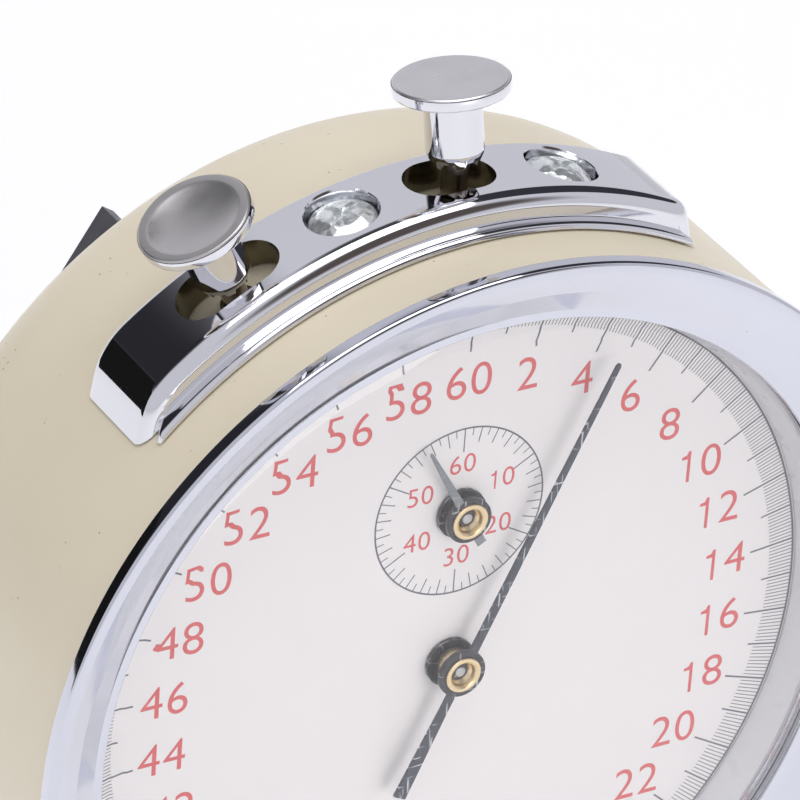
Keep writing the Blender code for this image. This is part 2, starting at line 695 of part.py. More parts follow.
def build_plates():
    pillars = [polar(PILLAR_RING_RADIUS, angle) for angle in PILLAR_ANGLES]
    pivots = [THIRD, ESCAPE, PALLET, BALANCE]
    hole = PIVOT_RADIUS + RUNNING
    front = [circle(PLATE_RADIUS, 40)]
    front += [circle(ARBOR_RADIUS + RUNNING, 12, CENTRE), circle(ARBOR_RADIUS + RUNNING, 12, MINUTE)]
    front += [circle(hole, 8, point) for point in pivots + [TRANSFER, BARREL, START_PIVOT, HAMMER_PIVOT]]
    front += [circle(1.2, 8, point) for point in pillars]
    front.append(circle(BRAKE_SLOT_RADIUS, 16, BRAKE_SLOT))
    flat("movement_front_plate", front, FRONT_PLATE_Z, FRONT_PLATE_BACK_Z, BRASS)
    back = [circle(PLATE_RADIUS, 40)]
    back += [circle(hole, 8, point) for point in pivots + [CENTRE, MINUTE, CLICK_PIVOT]]
    back.append(circle(WINDING_ARBOR_RADIUS + RUNNING, 16, BARREL))
    back += [circle(1.2, 8, point) for point in pillars]
    flat("movement_back_plate", back, BACK_PLATE_Z, BACK_PLATE_BACK_Z, BRASS)
    for index, (x, y) in enumerate(pillars):
        turned(f"pillar_{index + 1}",
               [(0, FRONT_PLATE_Z + 0.4), (0.9, FRONT_PLATE_Z + 0.4), (0.9, FRONT_PLATE_BACK_Z - GAP),
                (PILLAR_RADIUS, FRONT_PLATE_BACK_Z - GAP), (PILLAR_RADIUS, BACK_PLATE_Z + GAP),
                (0.9, BACK_PLATE_Z + GAP), (0.9, BACK_PLATE_BACK_Z - 0.4), (0, BACK_PLATE_BACK_Z - 0.4)],
               STEEL, 12, location=(x, y, 0.0))
    turned("movement_seat",
           [(BEZEL_SKIRT_RADIUS, FRONT_PLATE_BACK_Z - GAP), (BEZEL_SKIRT_RADIUS, FRONT_PLATE_BACK_Z - 4.0),
            (PLATE_RADIUS + 2.0, FRONT_PLATE_BACK_Z - 4.0), (PLATE_RADIUS - 1.5,
                                                             FRONT_PLATE_BACK_Z - GAP)],
           STEEL, 36)


def arbor(name, center, levels, mat=STEEL, segments=8, cutter=False):
    """A stepped shaft: levels are pairs of radius and the z where that radius begins, then the end z."""
    profile = [(0, levels[0][1])]
    for index, (radius, z) in enumerate(levels[:-1]):
        profile.append((radius, z))
        profile.append((radius, levels[index + 1][1]))
    profile.append((0, levels[-1][1]))
    return turned(name, profile, mat, segments, location=(center[0], center[1], 0.0), cutter=cutter)


def cut_pinion(shaft, teeth, module, z_top, z_bottom, phase):
    """Adds a pinion's leaves to a shaft, in one piece with it."""
    leaves = flat(shaft.name + f"_leaves_{teeth}_{phase:.0f}", [gear_outline(teeth, module, phase)],
                  z_top, z_bottom,
                  None, location=tuple(value / MM for value in shaft.location), cutter=True)
    boolean(shaft, leaves, "UNION")


def wheel(name, center, teeth, module, z_top, phase, bore):
    return flat(name, [gear_outline(teeth, module, phase), circle(bore, 12)], z_top,
                z_top - WHEEL_THICKNESS, BRASS,
                location=(center[0], center[1], 0.0))


def heart_cam(name, center, angle):
    """A reset heart: its radius grows evenly from the notch to the point."""
    outline = []
    for index in range(16):
        turn = 360.0 * index / 16
        share = min(turn, 360.0 - turn) / 180.0
        radius = HEART_MIN_RADIUS + (HEART_MAX_RADIUS - HEART_MIN_RADIUS) * share
        outline.append(polar(radius, angle + turn))
    top = LEVER_Z + LEVER_THICKNESS / 2
    flat(name, [outline, circle(ARBOR_RADIUS + GAP, 10)], top, top - LEVER_THICKNESS, STEEL,
         location=(center[0], center[1], 0.0))


def hand_arbor_levels(hand_z):
    """The hand's arbor carries a collar just above the dial, under the collet."""
    return [(ARBOR_RADIUS, hand_z - 0.6), (HUB_RADIUS, COLLAR_TOP_Z), (ARBOR_RADIUS, GAP),
            (PIVOT_RADIUS, BACK_PLATE_Z + 0.3), (0, BACK_PLATE_BACK_Z + 0.2)]


def build_seconds_arbor():
    shaft = arbor("seconds_arbor", CENTRE, hand_arbor_levels(SECONDS_HAND_Z), segments=16)
    third_side = bearing(CENTRE, THIRD)
    transfer_side = bearing(CENTRE, TRANSFER)
    cut_pinion(shaft, SECONDS_PINION_TEETH, MODULE_POWER, THIRD_WHEEL_Z + 0.4,
               THIRD_WHEEL_Z - WHEEL_THICKNESS - 0.4, third_side)
    cut_pinion(shaft, SECONDS_PINION_TEETH, MODULE_FINE, TRANSFER_WHEEL_Z + 0.3,
               TRANSFER_WHEEL_Z - WHEEL_THICKNESS - 0.3, transfer_side)
    escape_side = bearing(CENTRE, ESCAPE)
    wheel("fourth_wheel", CENTRE, FOURTH_TEETH, MODULE_FINE, FOURTH_WHEEL_Z, escape_side,
          ARBOR_RADIUS + GAP)
    heart_cam("seconds_heart_cam", CENTRE, 200.0)


def build_minute_arbor():
    arbor("minute_arbor", MINUTE, hand_arbor_levels(MINUTE_HAND_Z), segments=16)
    wheel("minute_wheel", MINUTE, MINUTE_TEETH, MODULE_COUNTER, MINUTE_WHEEL_Z,
          gap_phase(MINUTE_TEETH, bearing(MINUTE, TRANSFER)), ARBOR_RADIUS + GAP)
    heart_cam("minute_heart_cam", MINUTE, 20.0)


def build_transfer():
    shaft = arbor("transfer_arbor", TRANSFER,
                  [(ARBOR_RADIUS, MINUTE_WHEEL_Z + 0.6), (PIVOT_RADIUS, FRONT_PLATE_Z + 0.4),
                   (0, FRONT_PLATE_BACK_Z + 0.2)])
    cut_pinion(shaft, TRANSFER_PINION_TEETH, MODULE_COUNTER, MINUTE_WHEEL_Z + 0.3,
               MINUTE_WHEEL_Z - WHEEL_THICKNESS - 0.3, bearing(TRANSFER, MINUTE))
    wheel("transfer_wheel", TRANSFER, TRANSFER_TEETH, MODULE_FINE, TRANSFER_WHEEL_Z,
          gap_phase(TRANSFER_TEETH, bearing(TRANSFER, CENTRE)), ARBOR_RADIUS + GAP)


def build_third():
    shaft = arbor("third_arbor", THIRD,
                  [(PIVOT_RADIUS, FRONT_PLATE_Z - 0.2), (ARBOR_RADIUS, FRONT_PLATE_BACK_Z - 0.4),
                   (PIVOT_RADIUS, BACK_PLATE_Z + 0.4), (0, BACK_PLATE_BACK_Z + 0.2)])
    wheel("third_wheel", THIRD, THIRD_TEETH, MODULE_POWER, THIRD_WHEEL_Z,
          gap_phase(THIRD_TEETH, bearing(THIRD, CENTRE)), ARBOR_RADIUS + GAP)
    cut_pinion(shaft, THIRD_PINION_TEETH, MODULE_POWER, GREAT_WHEEL_Z + 0.3,
               GREAT_WHEEL_Z - GREAT_THICKNESS - 0.3, bearing(THIRD, BARREL))


def spiral(inner, outer, turns, thickness, steps_per_turn):
    """A ribbon's outline that winds out from the inner to the outer radius."""
    count = int(turns * steps_per_turn)
    sides = ([], [])
    for index in range(count + 1):
        angle = 360.0 * index / steps_per_turn
        radius = inner + (outer - inner) * index / count
        sides[0].append(polar(radius - thickness / 2, angle))
        sides[1].append(polar(radius + thickness / 2, angle))
    return sides[0] + sides[1][::-1]


def build_barrel():
    x, y = BARREL
    bore = WINDING_ARBOR_RADIUS + RUNNING
    bottom = BARREL_TOP_Z - BARREL_LENGTH
    drum = turned("barrel_drum",
                  [(BARREL_RADIUS, BARREL_TOP_Z), (BARREL_RADIUS, bottom), (bore, bottom), (bore,
                                                                                            bottom + 0.8),
                   (BARREL_RADIUS - 0.9, bottom + 0.8), (BARREL_RADIUS - 0.9, BARREL_TOP_Z)],
                  BRASS, 28, location=(x, y, 0.0))
    rim = flat("great_wheel_rim",
               [gear_outline(GREAT_TEETH, MODULE_POWER, gap_phase(GREAT_TEETH, bearing(BARREL, THIRD))),
                circle(BARREL_RADIUS - 4.0, 24)],
               GREAT_WHEEL_Z, GREAT_WHEEL_Z - GREAT_THICKNESS, None, location=(x, y, 0.0), cutter=True)
    boolean(drum, rim, "UNION")
    flat("mainspring", [spiral(WINDING_ARBOR_RADIUS + 1.0, BARREL_RADIUS - 1.5, 4, 0.45, 12)],
         BARREL_TOP_Z - 0.6, bottom + 0.8 + GAP, BLUED, location=(x, y, 0.0))


def build_winding():
    x, y = BARREL
    front = FRONT_PLATE_Z - 0.2
    socket_end = KEY_STEM_FRONT_Z - KEY_SOCKET_DEPTH + 1.0
    arbor("winding_arbor", BARREL,
          [(PIVOT_RADIUS, front), (WINDING_ARBOR_RADIUS, FRONT_PLATE_BACK_Z - 0.4), (0, socket_end)],
          STEEL, 16)
    outline = []
    for index in range(RATCHET_TEETH):
        angle = 360.0 * index / RATCHET_TEETH
        outline.append(polar(RATCHET_RADIUS, angle))
        outline.append(polar(RATCHET_RADIUS - 1.3, angle + 1.5))
    flat("ratchet_wheel", [outline, circle(WINDING_ARBOR_RADIUS + RUNNING, 16)], RATCHET_Z,
         RATCHET_Z - 1.4, STEEL,
         location=(x, y, 0.0))
    build_click()
    build_key()


CLICK_PIVOT = polar(CLICK_DISTANCE, 170.0, BARREL)


def build_click():
    """The pawl that holds the ratchet, on a stud of the back plate."""
    x, y = CLICK_PIVOT
    tip_angle = bearing(CLICK_PIVOT, BARREL)
    nose = polar(6.6, tip_angle + 24.0)
    flat("click", [arc(2.4, tip_angle + 70, tip_angle + 310, 8) + [nose], circle(1.0 + RUNNING, 10)],
         RATCHET_Z, RATCHET_Z - 1.4, STEEL, location=(x, y, 0.0))
    turned("click_stud",
           [(0, BACK_PLATE_Z + 0.2), (PIVOT_RADIUS, BACK_PLATE_Z + 0.2), (PIVOT_RADIUS,
                                                                          BACK_PLATE_BACK_Z - GAP),
            (1.0, BACK_PLATE_BACK_Z - GAP), (1.0, RATCHET_Z - 1.4 - GAP), (1.8, RATCHET_Z - 1.4 - GAP),
            (1.8, RATCHET_Z - 2.6), (0, RATCHET_Z - 2.6)],
           STEEL, 12, location=(x, y, 0.0))


def build_key():
    """A wing key: a flat plate across the axis, joined to a tube that fits the winding arbor."""
    x, y = KEY_AXIS
    half = KEY_SPAN / 2
    neck = KEY_HUB_RADIUS + 1.2
    taper_end = KEY_BACK_Z + KEY_EDGE + half - neck
    back = -KEY_BACK_Z
    outline = [(half, back), (half, back - KEY_EDGE), (neck, -taper_end), (-neck, -taper_end),
               (-half, back - KEY_EDGE), (-half, back)]
    wing = flat("key_wing", [outline], KEY_THICKNESS / 2, -KEY_THICKNESS / 2, None,
                location=(x, y, 0.0), rotation=(math.radians(-90), 0.0, math.radians(90 - KEY_TILT)),
                cutter=True)
    socket = WINDING_ARBOR_RADIUS + RUNNING
    key = turned("winding_key",
                 [(KEY_HUB_RADIUS, KEY_STEM_FRONT_Z), (KEY_HUB_RADIUS, KEY_BACK_Z + KEY_EDGE),
                  (KEY_HUB_RADIUS - 1.0, KEY_BACK_Z + KEY_EDGE - 1.0), (0, KEY_BACK_Z + KEY_EDGE - 1.0),
                  (0, KEY_STEM_FRONT_Z - KEY_SOCKET_DEPTH), (socket, KEY_STEM_FRONT_Z - KEY_SOCKET_DEPTH),
                  (socket, KEY_STEM_FRONT_Z)], KEY_GREY, 20, location=(x, y, 0.0))
    boolean(key, wing, "UNION")
    bore = rod("key_bore", socket, KEY_STEM_FRONT_Z + 2.0, KEY_STEM_FRONT_Z - KEY_SOCKET_DEPTH, None, 20,
               location=(x, y, 0.0), cutter=True)
    boolean(key, bore)


def build_escapement():
    x, y = ESCAPE
    levels = [(PIVOT_RADIUS, FRONT_PLATE_Z - 0.2), (ARBOR_RADIUS, FRONT_PLATE_BACK_Z - 0.4),
              (PIVOT_RADIUS, BACK_PLATE_Z + 0.4), (0, BACK_PLATE_BACK_Z + 0.2)]
    shaft = arbor("escape_arbor", ESCAPE, levels)
    cut_pinion(shaft, ESCAPE_PINION_TEETH, MODULE_FINE, FOURTH_WHEEL_Z + 0.3,
               FOURTH_WHEEL_Z - WHEEL_THICKNESS - 0.3, gap_phase(ESCAPE_PINION_TEETH, bearing(ESCAPE,
                                                                                              CENTRE)))
    outline = []
    for index in range(ESCAPE_TEETH):
        angle = 360.0 * index / ESCAPE_TEETH
        outline += [polar(ESCAPE_RADIUS, angle), polar(ESCAPE_RADIUS, angle + 1.5),
                    polar(ESCAPE_RADIUS - 1.4, angle + 5.0)]
    flat("escape_wheel", [outline, circle(ARBOR_RADIUS + GAP, 10)], ESCAPE_WHEEL_Z,
         ESCAPE_WHEEL_Z - WHEEL_THICKNESS, BRASS, location=(x, y, 0.0))
    build_pallet(levels)
    build_balance(levels)


def build_pallet(levels):
    """The lever: two pallets stand clear of the wheel's teeth and a forked tail points at the balance."""
    x, y = PALLET
    line = BALANCE_LINE_ANGLE
    reach = BALANCE_DISTANCE - 2.9
    clear = ESCAPE_RADIUS + 2 * GAP
    left = polar(clear, line - 36, (0.0, 0.0))
    right = polar(clear, line + 36, (0.0, 0.0))
    base = polar(PALLET_DISTANCE, line + 180.0)
    left = (left[0] + base[0], left[1] + base[1])
    right = (right[0] + base[0], right[1] + base[1])
    shoulder_left = (left[0] + 1.5 * math.sin(math.radians(line - 20)),
                     left[1] + 1.5 * math.cos(math.radians(line - 20)))
    shoulder_right = (right[0] + 1.5 * math.sin(math.radians(line + 20)),
                      right[1] + 1.5 * math.cos(math.radians(line + 20)))
    outline = [left, shoulder_left] + [polar(2.0, line - 60)]
    outline += [polar(reach, line - 9), polar(reach - 1.4, line), polar(reach, line + 9)]
    outline += [polar(2.0, line + 60), shoulder_right, right, polar(1.9, line + 180)]
    lever = flat("pallet_lever", [outline], ESCAPE_WHEEL_Z, ESCAPE_WHEEL_Z - WHEEL_THICKNESS, STEEL,
                 location=(x, y, 0.0))
    shaft = arbor("pallet_arbor_shape", PALLET, levels, None, cutter=True)
    boolean(lever, shaft, "UNION")


def build_balance(levels):
    x, y = BALANCE
    roller_top = ESCAPE_WHEEL_Z + 1.2
    arbor("balance_staff", BALANCE,
          levels[:2] + [(2.3, roller_top), (ARBOR_RADIUS, roller_top - 0.8)] + levels[2:])
    rim = BALANCE_RADIUS
    outlines = [circle(rim, 24), circle(ARBOR_RADIUS + GAP, 10)]
    for index in range(2):
        first = 180.0 * index + 10.0
        outlines.append(arc(rim - 1.4, first, first + 160.0, 10)
                        + arc(3.0, first + 150.0, first + 10.0, 4))
    flat("balance_wheel", outlines, BALANCE_Z, BALANCE_Z - 1.4, BRASS, location=(x, y, 0.0))
    flat("hairspring", [spiral(1.8, 6.4, 4, 0.25, 12)], FRONT_PLATE_BACK_Z - 1.4,
         FRONT_PLATE_BACK_Z - 2.2, BLUED,
         location=(x, y, 0.0))


# Levers under the dial

BRAKE_PIN = polar(BALANCE_RADIUS + BRAKE_PIN_RADIUS + 0.6, 35.0, BALANCE)


def swung(point, pivot, turn):
    """Where a point goes when its lever turns clockwise about the pivot, in radians."""
    dx = point[0] - pivot[0]
    dy = point[1] - pivot[1]
    return (pivot[0] + dx * math.cos(turn) + dy * math.sin(turn),
            pivot[1] + dy * math.cos(turn) - dx * math.sin(turn))


BRAKE_PIN_PRESSED = swung(BRAKE_PIN, START_PIVOT, -START_TURN)
BRAKE_SLOT = ((BRAKE_PIN[0] + BRAKE_PIN_PRESSED[0]) / 2, (BRAKE_PIN[1] + BRAKE_PIN_PRESSED[1]) / 2)
BRAKE_SLOT_RADIUS = math.dist(BRAKE_PIN, BRAKE_PIN_PRESSED) / 2 + BRAKE_PIN_RADIUS + 0.8


def build_levers():
    top = LEVER_Z + LEVER_THICKNESS / 2
    bottom = top - LEVER_THICKNESS
    pad = PIN_END_RADIUS - GAP
    x, y = START_PIVOT
    pads = polar(pad, START_ANGLE)
    outline = [(-4.0, pads[1]), (4.0, pads[1]), (6.0, 44.6), (18.0, 46.4), (28.0, 39.0), (33.4, 28.5),
               (33.4, 25.0), (31.0, 23.9), (29.2, 26.0), (25.0, 34.0), (17.0, 39.8), (4.0, 41.6),
               (-3.0, 44.6)]
    outline = [(px - x, py - y) for px, py in outline]
    lever = flat("start_stop_lever", [outline, circle(1.6 + RUNNING, 12)], top, bottom, STEEL,
                 location=(x, y, 0.0))
    pin = rod("brake_pin_shape", BRAKE_PIN_RADIUS, top, BALANCE_Z - 1.2, None, 10,
              location=(BRAKE_PIN[0], BRAKE_PIN[1], 0.0), cutter=True)
    boolean(lever, pin, "UNION")
    lever_stud("start_lever_stud", START_PIVOT, top)
    x, y = HAMMER_PIVOT
    tip = polar(pad, RESET_ANGLE)
    outline = [(tip[0] - 3.6, tip[1] - 1.9), (tip[0] + 3.6, tip[1] + 1.9), (-19.5, 41.0), (-22.5, 34.5),
               (-7.0, 36.4), (0.0, 36.4), (0.0, 34.0), (-8.0, 31.0), (-20.0, 28.5), (-22.0, 19.0),
               (-9.0, 15.0), (2.0, 14.4), (2.0, 12.0), (-8.0, 11.0), (-25.0, 15.0), (-37.0, 18.6),
               (-40.0, 20.0), (-40.4, 24.0), (-34.0, 28.5), (-28.5, 33.5), (-26.6, 38.0)]
    outline = [(px - x, py - y) for px, py in outline]
    flat("reset_hammer", [outline, circle(1.6 + RUNNING, 12)], top, bottom, STEEL, location=(x, y, 0.0))
    lever_stud("hammer_stud", HAMMER_PIVOT, top)


def lever_stud(name, center, top):
    """A shouldered stud on the front plate with a head that keeps its lever on."""
    turned(name,
           [(0, top + 1.2), (2.4, top + 1.2), (2.4, top + GAP), (1.6, top + GAP),
            (1.6, FRONT_PLATE_Z + GAP), (PIVOT_RADIUS, FRONT_PLATE_Z + GAP),
            (PIVOT_RADIUS, FRONT_PLATE_BACK_Z + 0.2),
            (0, FRONT_PLATE_BACK_Z + 0.2)],
           STEEL, 12, location=(center[0], center[1], 0.0))


# Hands


def hand_outline(angle, length, tail, widths):
    """A tapered blade with a wider tail, symmetric about its own line. Widths are at the root, tip and
    tail."""
    root_width, tip_width, tail_width = widths
    sides = []
    for across in (-1, 1):
        blade = [(across * root_width / 2, 0.0), (across * tip_width / 2, length)]
        back = [(across * tail_width / 2, -tail), (across * root_width / 2, -tail * 0.35)]
        sides.append(back + blade)
    points = sides[0] + sides[1][::-1]
    turn = math.radians(angle)
    return [(px * math.cos(turn) + py * math.sin(turn), -px * math.sin(turn) + py * math.cos(turn))
            for px, py in points]


def build_hand(label, center, outline, z):
    """The blade and its ring are one flat plate, held high over the dial by a brass collet on the
    arbor."""
    x, y = center
    hole = COLLET_RADIUS + RUNNING
    bottom = z - HAND_THICKNESS
    bore = ARBOR_RADIUS + RUNNING
    blade = flat(label + "_blade_shape", [outline], z, bottom, None, location=(x, y, 0.0), cutter=True)
    hand = turned(f"{label}_hand", [(HUB_RADIUS, z), (HUB_RADIUS, bottom), (hole, bottom), (hole, z)],
                  BLUED, 20, location=(x, y, 0.0))
    boolean(hand, blade, "UNION")
    through = rod(label + "_hand_bore", hole, z + 1.0, bottom - 1.0, None, 20, location=(x, y, 0.0),
                  cutter=True)
    boolean(hand, through)
    front = z + COLLET_PROUD
    recess = COLLET_RECESS_RADIUS
    turned(f"{label}_collet",
           [(COLLET_RADIUS, front), (COLLET_RADIUS, COLLAR_TOP_Z + RUNNING), (bore,
                                                                              COLLAR_TOP_Z + RUNNING),
            (bore, z - 0.4), (recess, z - 0.4), (recess, front)],
           BRASS, 16, location=(x, y, 0.0))


# Feet


def build_feet():
    for label, side in (("left", -1), ("right", 1)):
        cradle = arc(CASE_RADIUS + GAP, side * FOOT_OUTER_ANGLE, side * FOOT_INNER_ANGLE, 6)
        floor = FOOT_FLOOR_Y + PAD_THICKNESS + GAP
        outline = cradle + [(cradle[-1][0] + side * 1.0, floor), (cradle[0][0] + side * 4.0, floor),
                            (cradle[0][0] + side * 4.0, floor + 3.0)]
        flat(f"foot_{label}", [outline], FOOT_FRONT_Z, FOOT_BACK_Z, CHROME)
        inner = cradle[-1][0] + side * 2.0
        outer = cradle[0][0] + side * 3.0
        pad = [(inner, FOOT_FLOOR_Y), (outer, FOOT_FLOOR_Y), (outer, FOOT_FLOOR_Y + PAD_THICKNESS),
               (inner, FOOT_FLOOR_Y + PAD_THICKNESS)]
        flat(f"foot_pad_{label}", [pad], FOOT_FRONT_Z - 1.0, FOOT_BACK_Z + 1.0, RUBBER)


build_case()
build_back_cover()
build_bezel()
build_crystal()
build_dial()
build_bracket()
build_button("start", START_ANGLE, START_CAP_TOP, START_DISH, START_LEAN_BACK, START_LEAN_LEFT)
build_button("reset", RESET_ANGLE, RESET_CAP_TOP, RESET_DISH, 0.0, 0.0)
build_plates()
build_seconds_arbor()
build_minute_arbor()
build_transfer()
build_third()
build_barrel()
build_winding()
build_escapement()
build_levers()
build_hand(
    "seconds",
    CENTRE,
    hand_outline(SECONDS_HAND_ANGLE, SECONDS_HAND_LENGTH, SECONDS_TAIL_LENGTH, SECONDS_HAND_WIDTHS),
    SECONDS_HAND_Z,
)
build_hand(
    "minute",
    MINUTE,
    hand_outline(MINUTE_HAND_ANGLE, MINUTE_HAND_LENGTH, MINUTE_TAIL_LENGTH, MINUTE_HAND_WIDTHS),
    MINUTE_HAND_Z,
)
build_feet()
for part in PARTS.objects:
    smooth(part)
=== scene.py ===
"""Mechanical stop clock: finished surfaces, dial print, finer visible pieces, studio and camera."""

import math

import bmesh
import bpy
from mathutils import Matrix, Vector


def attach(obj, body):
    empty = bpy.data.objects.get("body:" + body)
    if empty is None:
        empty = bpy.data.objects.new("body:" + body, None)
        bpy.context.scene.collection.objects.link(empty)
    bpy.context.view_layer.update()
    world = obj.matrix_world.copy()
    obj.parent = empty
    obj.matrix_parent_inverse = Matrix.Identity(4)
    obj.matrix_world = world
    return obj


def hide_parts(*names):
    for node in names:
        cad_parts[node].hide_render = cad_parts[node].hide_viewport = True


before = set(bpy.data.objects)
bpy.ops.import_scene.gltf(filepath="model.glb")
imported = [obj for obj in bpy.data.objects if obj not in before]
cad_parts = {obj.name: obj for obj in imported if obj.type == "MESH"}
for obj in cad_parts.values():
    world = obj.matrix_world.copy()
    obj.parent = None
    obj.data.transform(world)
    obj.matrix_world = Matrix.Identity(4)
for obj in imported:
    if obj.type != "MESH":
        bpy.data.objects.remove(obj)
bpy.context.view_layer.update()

MM = 0.001

# The dial frame: x right, y to 12 o'clock, z out of the dial, in millimetres
DIAL_CENTRE = (0.0, -26.275, 69.95)
MINUTE_CENTRE = (0.0, 22.2)
BUTTON_Z = -6.9
START_ANGLE = 0.2
START_SLOT_ANGLE = -0.5
RESET_ANGLE = -27.8
SCREW_ANGLES = {"left": -13.5, "right": 13.5}

CASE_RADIUS = 62.3
CASE_FRONT_Z = 10.3
CASE_BACK_Z = -39.8
SHOULDER_RADIUS = 12.7
BACK_OPENING_RADIUS = 38.0
CASE_WALL = 1.5
CRYSTAL_THICKNESS = 1.2

TOP_RADIUS = 66.7
FOOT_RADIUS = 62.6
BRACKET_FRONT_Z = 1.0
BRACKET_BACK_Z = -13.3
BRACKET_FLANGE_Z = 2.9
BRACKET_EDGE = 2.0
BASE_ANGLES = (-47.3, 30.2)
TOP_ANGLES = (-42.1, 27.0)
SHOULDER_ROUNDING = (3.6, 1.6)
SLOT_LENGTHS = {"start": 12.2, "reset": 14.5}
SLOT_WIDTH = 8.4
RECESS_RADIUS = 4.75

CAP_RADIUS = 7.4
CAP_THICKNESS = 1.8
STEM_RADIUS = 3.75
STEM_LENGTH = 9.4
START_LEAN = (8.0, 3.5)
PIN_RADIUS = 1.7
GUIDE_RADIUS = 2.4

SECONDS_ANGLE = 25.5
SECONDS_PLATE_Z = 3.85
MINUTE_ANGLE = -29.0
MINUTE_PLATE_Z = 2.7
PLATE_THICKNESS = 0.35

# The camera's axes and place, in metres
CAMERA_RIGHT = (0.8720, -0.4856, 0.0609)
CAMERA_BACK = (-0.4450, -0.7348, 0.5119)
CAMERA_PLACE = (-0.36818, -0.59225 - 0.026275, 0.45302 + 0.06995)

# Button cap tops above the dial centre, and the depth of each cap's dish
START_TOP = 79.6
RESET_TOP = 77.5
START_DISH = 0.15
RESET_DISH = 0.8
UPRIGHT = (0.0, 0.0)

# Printed figures, in parts of their type size; the figure 1 has a flag
DIGIT_PITCH = 0.525
FIGURE_ONE = ((-0.13, 0.17), (-0.13, 0.225), (-0.02, 0.26), (0.01, 0.34), (0.065, 0.34), (0.065, -0.34),
              (0.0, -0.34), (0.0, 0.17))


# Materials


class Nodes:
    """Builds one material's node tree, with short calls for the nodes used again and again."""

    def __init__(self, name, color, roughness, metallic=0.0):
        self.material = bpy.data.materials.new(name)
        self.material.use_nodes = True
        self.tree = self.material.node_tree
        self.shader = self.tree.nodes["Principled BSDF"]
        self.shader.inputs["Base Color"].default_value = (*color, 1.0)
        self.shader.inputs["Roughness"].default_value = roughness
        self.shader.inputs["Metallic"].default_value = metallic
        self.place = self.tree.nodes.new("ShaderNodeTexCoord").outputs["Object"]

    def link(self, source, target):
        self.tree.links.new(source, target)

    def stretched(self, scale, turn=0.0):
        node = self.tree.nodes.new("ShaderNodeMapping")
        node.inputs["Scale"].default_value = scale
        node.inputs["Rotation"].default_value = (0.0, 0.0, turn)
        self.link(self.place, node.inputs["Vector"])
        return node.outputs["Vector"]

    def noise(self, scale, detail=3.0, place=None, distortion=0.0):
        node = self.tree.nodes.new("ShaderNodeTexNoise")
        node.inputs["Scale"].default_value = scale
        node.inputs["Detail"].default_value = detail
        node.inputs["Distortion"].default_value = distortion
        self.link(place or self.place, node.inputs["Vector"])
        return node.outputs["Fac"]

    def voronoi(self, scale, place=None):
        node = self.tree.nodes.new("ShaderNodeTexVoronoi")
        node.inputs["Scale"].default_value = scale
        self.link(place or self.place, node.inputs["Vector"])
        return node.outputs["Distance"]

    def ranged(self, value, low, high, to_low=0.0, to_high=1.0):
        node = self.tree.nodes.new("ShaderNodeMapRange")
        node.inputs["From Min"].default_value = low
        node.inputs["From Max"].default_value = high
        node.inputs["To Min"].default_value = to_low
        node.inputs["To Max"].default_value = to_high
        self.link(value, node.inputs["Value"])
        return node.outputs["Result"]

    def math(self, operation, first, second):
        node = self.tree.nodes.new("ShaderNodeMath")
        node.operation = operation
        for value, socket in zip((first, second), node.inputs):
            if isinstance(value, float):
                socket.default_value = value
            else:
                self.link(value, socket)
        return node.outputs["Value"]

    def mixed(self, factor, first, second):
        node = self.tree.nodes.new("ShaderNodeMix")
        node.data_type = "RGBA"
        self.link(factor, node.inputs["Factor"])
        for value, socket in ((first, node.inputs[6]), (second, node.inputs[7])):
            if isinstance(value, tuple):
                socket.default_value = (*value, 1.0)
            else:
                self.link(value, socket)
        return node.outputs[2]

    def color(self, value):
        self.link(value, self.shader.inputs["Base Color"])

    def roughness(self, value):
        self.link(value, self.shader.inputs["Roughness"])

    def bump(self, value, strength, distance=0.0001):
        node = self.tree.nodes.new("ShaderNodeBump")
        node.inputs["Strength"].default_value = strength
        node.inputs["Distance"].default_value = distance
        self.link(value, node.inputs["Height"])
        self.link(node.outputs["Normal"], self.shader.inputs["Normal"])


def enamel():
    """Cream sprayed enamel with an orange-peel skin and tiny dark specks."""
    nodes = Nodes("cream_enamel_paint", (0.80, 0.72, 0.55), 0.4)
    shade = nodes.mixed(nodes.noise(35.0, 4.0), (0.78, 0.695, 0.52), (0.83, 0.75, 0.58))
    specks = nodes.ranged(nodes.voronoi(700.0), 0.06, 0.12, 1.0, 0.0)
    sparse = nodes.ranged(nodes.noise(160.0, 1.0), 0.56, 0.62)
    nodes.color(nodes.mixed(nodes.math("MULTIPLY", specks, sparse), shade, (0.40, 0.34, 0.25)))
    nodes.roughness(nodes.ranged(nodes.noise(240.0), 0.3, 0.7, 0.34, 0.48))
    nodes.bump(nodes.noise(900.0, 2.0), 0.12)
    nodes.shader.inputs["Coat Weight"].default_value = 0.25
    nodes.shader.inputs["Coat Roughness"].default_value = 0.25
    return nodes.material


def plated(name, color, smooth, rough, ripple=0.02):
    """Bright plating with a slight ripple, pits and wiping marks."""
    nodes = Nodes(name, color, smooth, 1.0)
    darker = tuple(value * 0.9 for value in color)
    pits = nodes.ranged(nodes.voronoi(500.0), 0.03, 0.07, 1.0, 0.0)
    sparse = nodes.ranged(nodes.noise(210.0, 1.0), 0.62, 0.68)
    shade = nodes.mixed(nodes.noise(60.0, 5.0), darker, color)
    nodes.color(nodes.mixed(nodes.math("MULTIPLY", pits, sparse), shade, (0.16, 0.16, 0.17)))
    nodes.roughness(nodes.ranged(nodes.noise(120.0, 6.0), 0.35, 0.75, smooth, rough))
    nodes.bump(nodes.noise(160.0, 2.0), ripple)
    return nodes.material


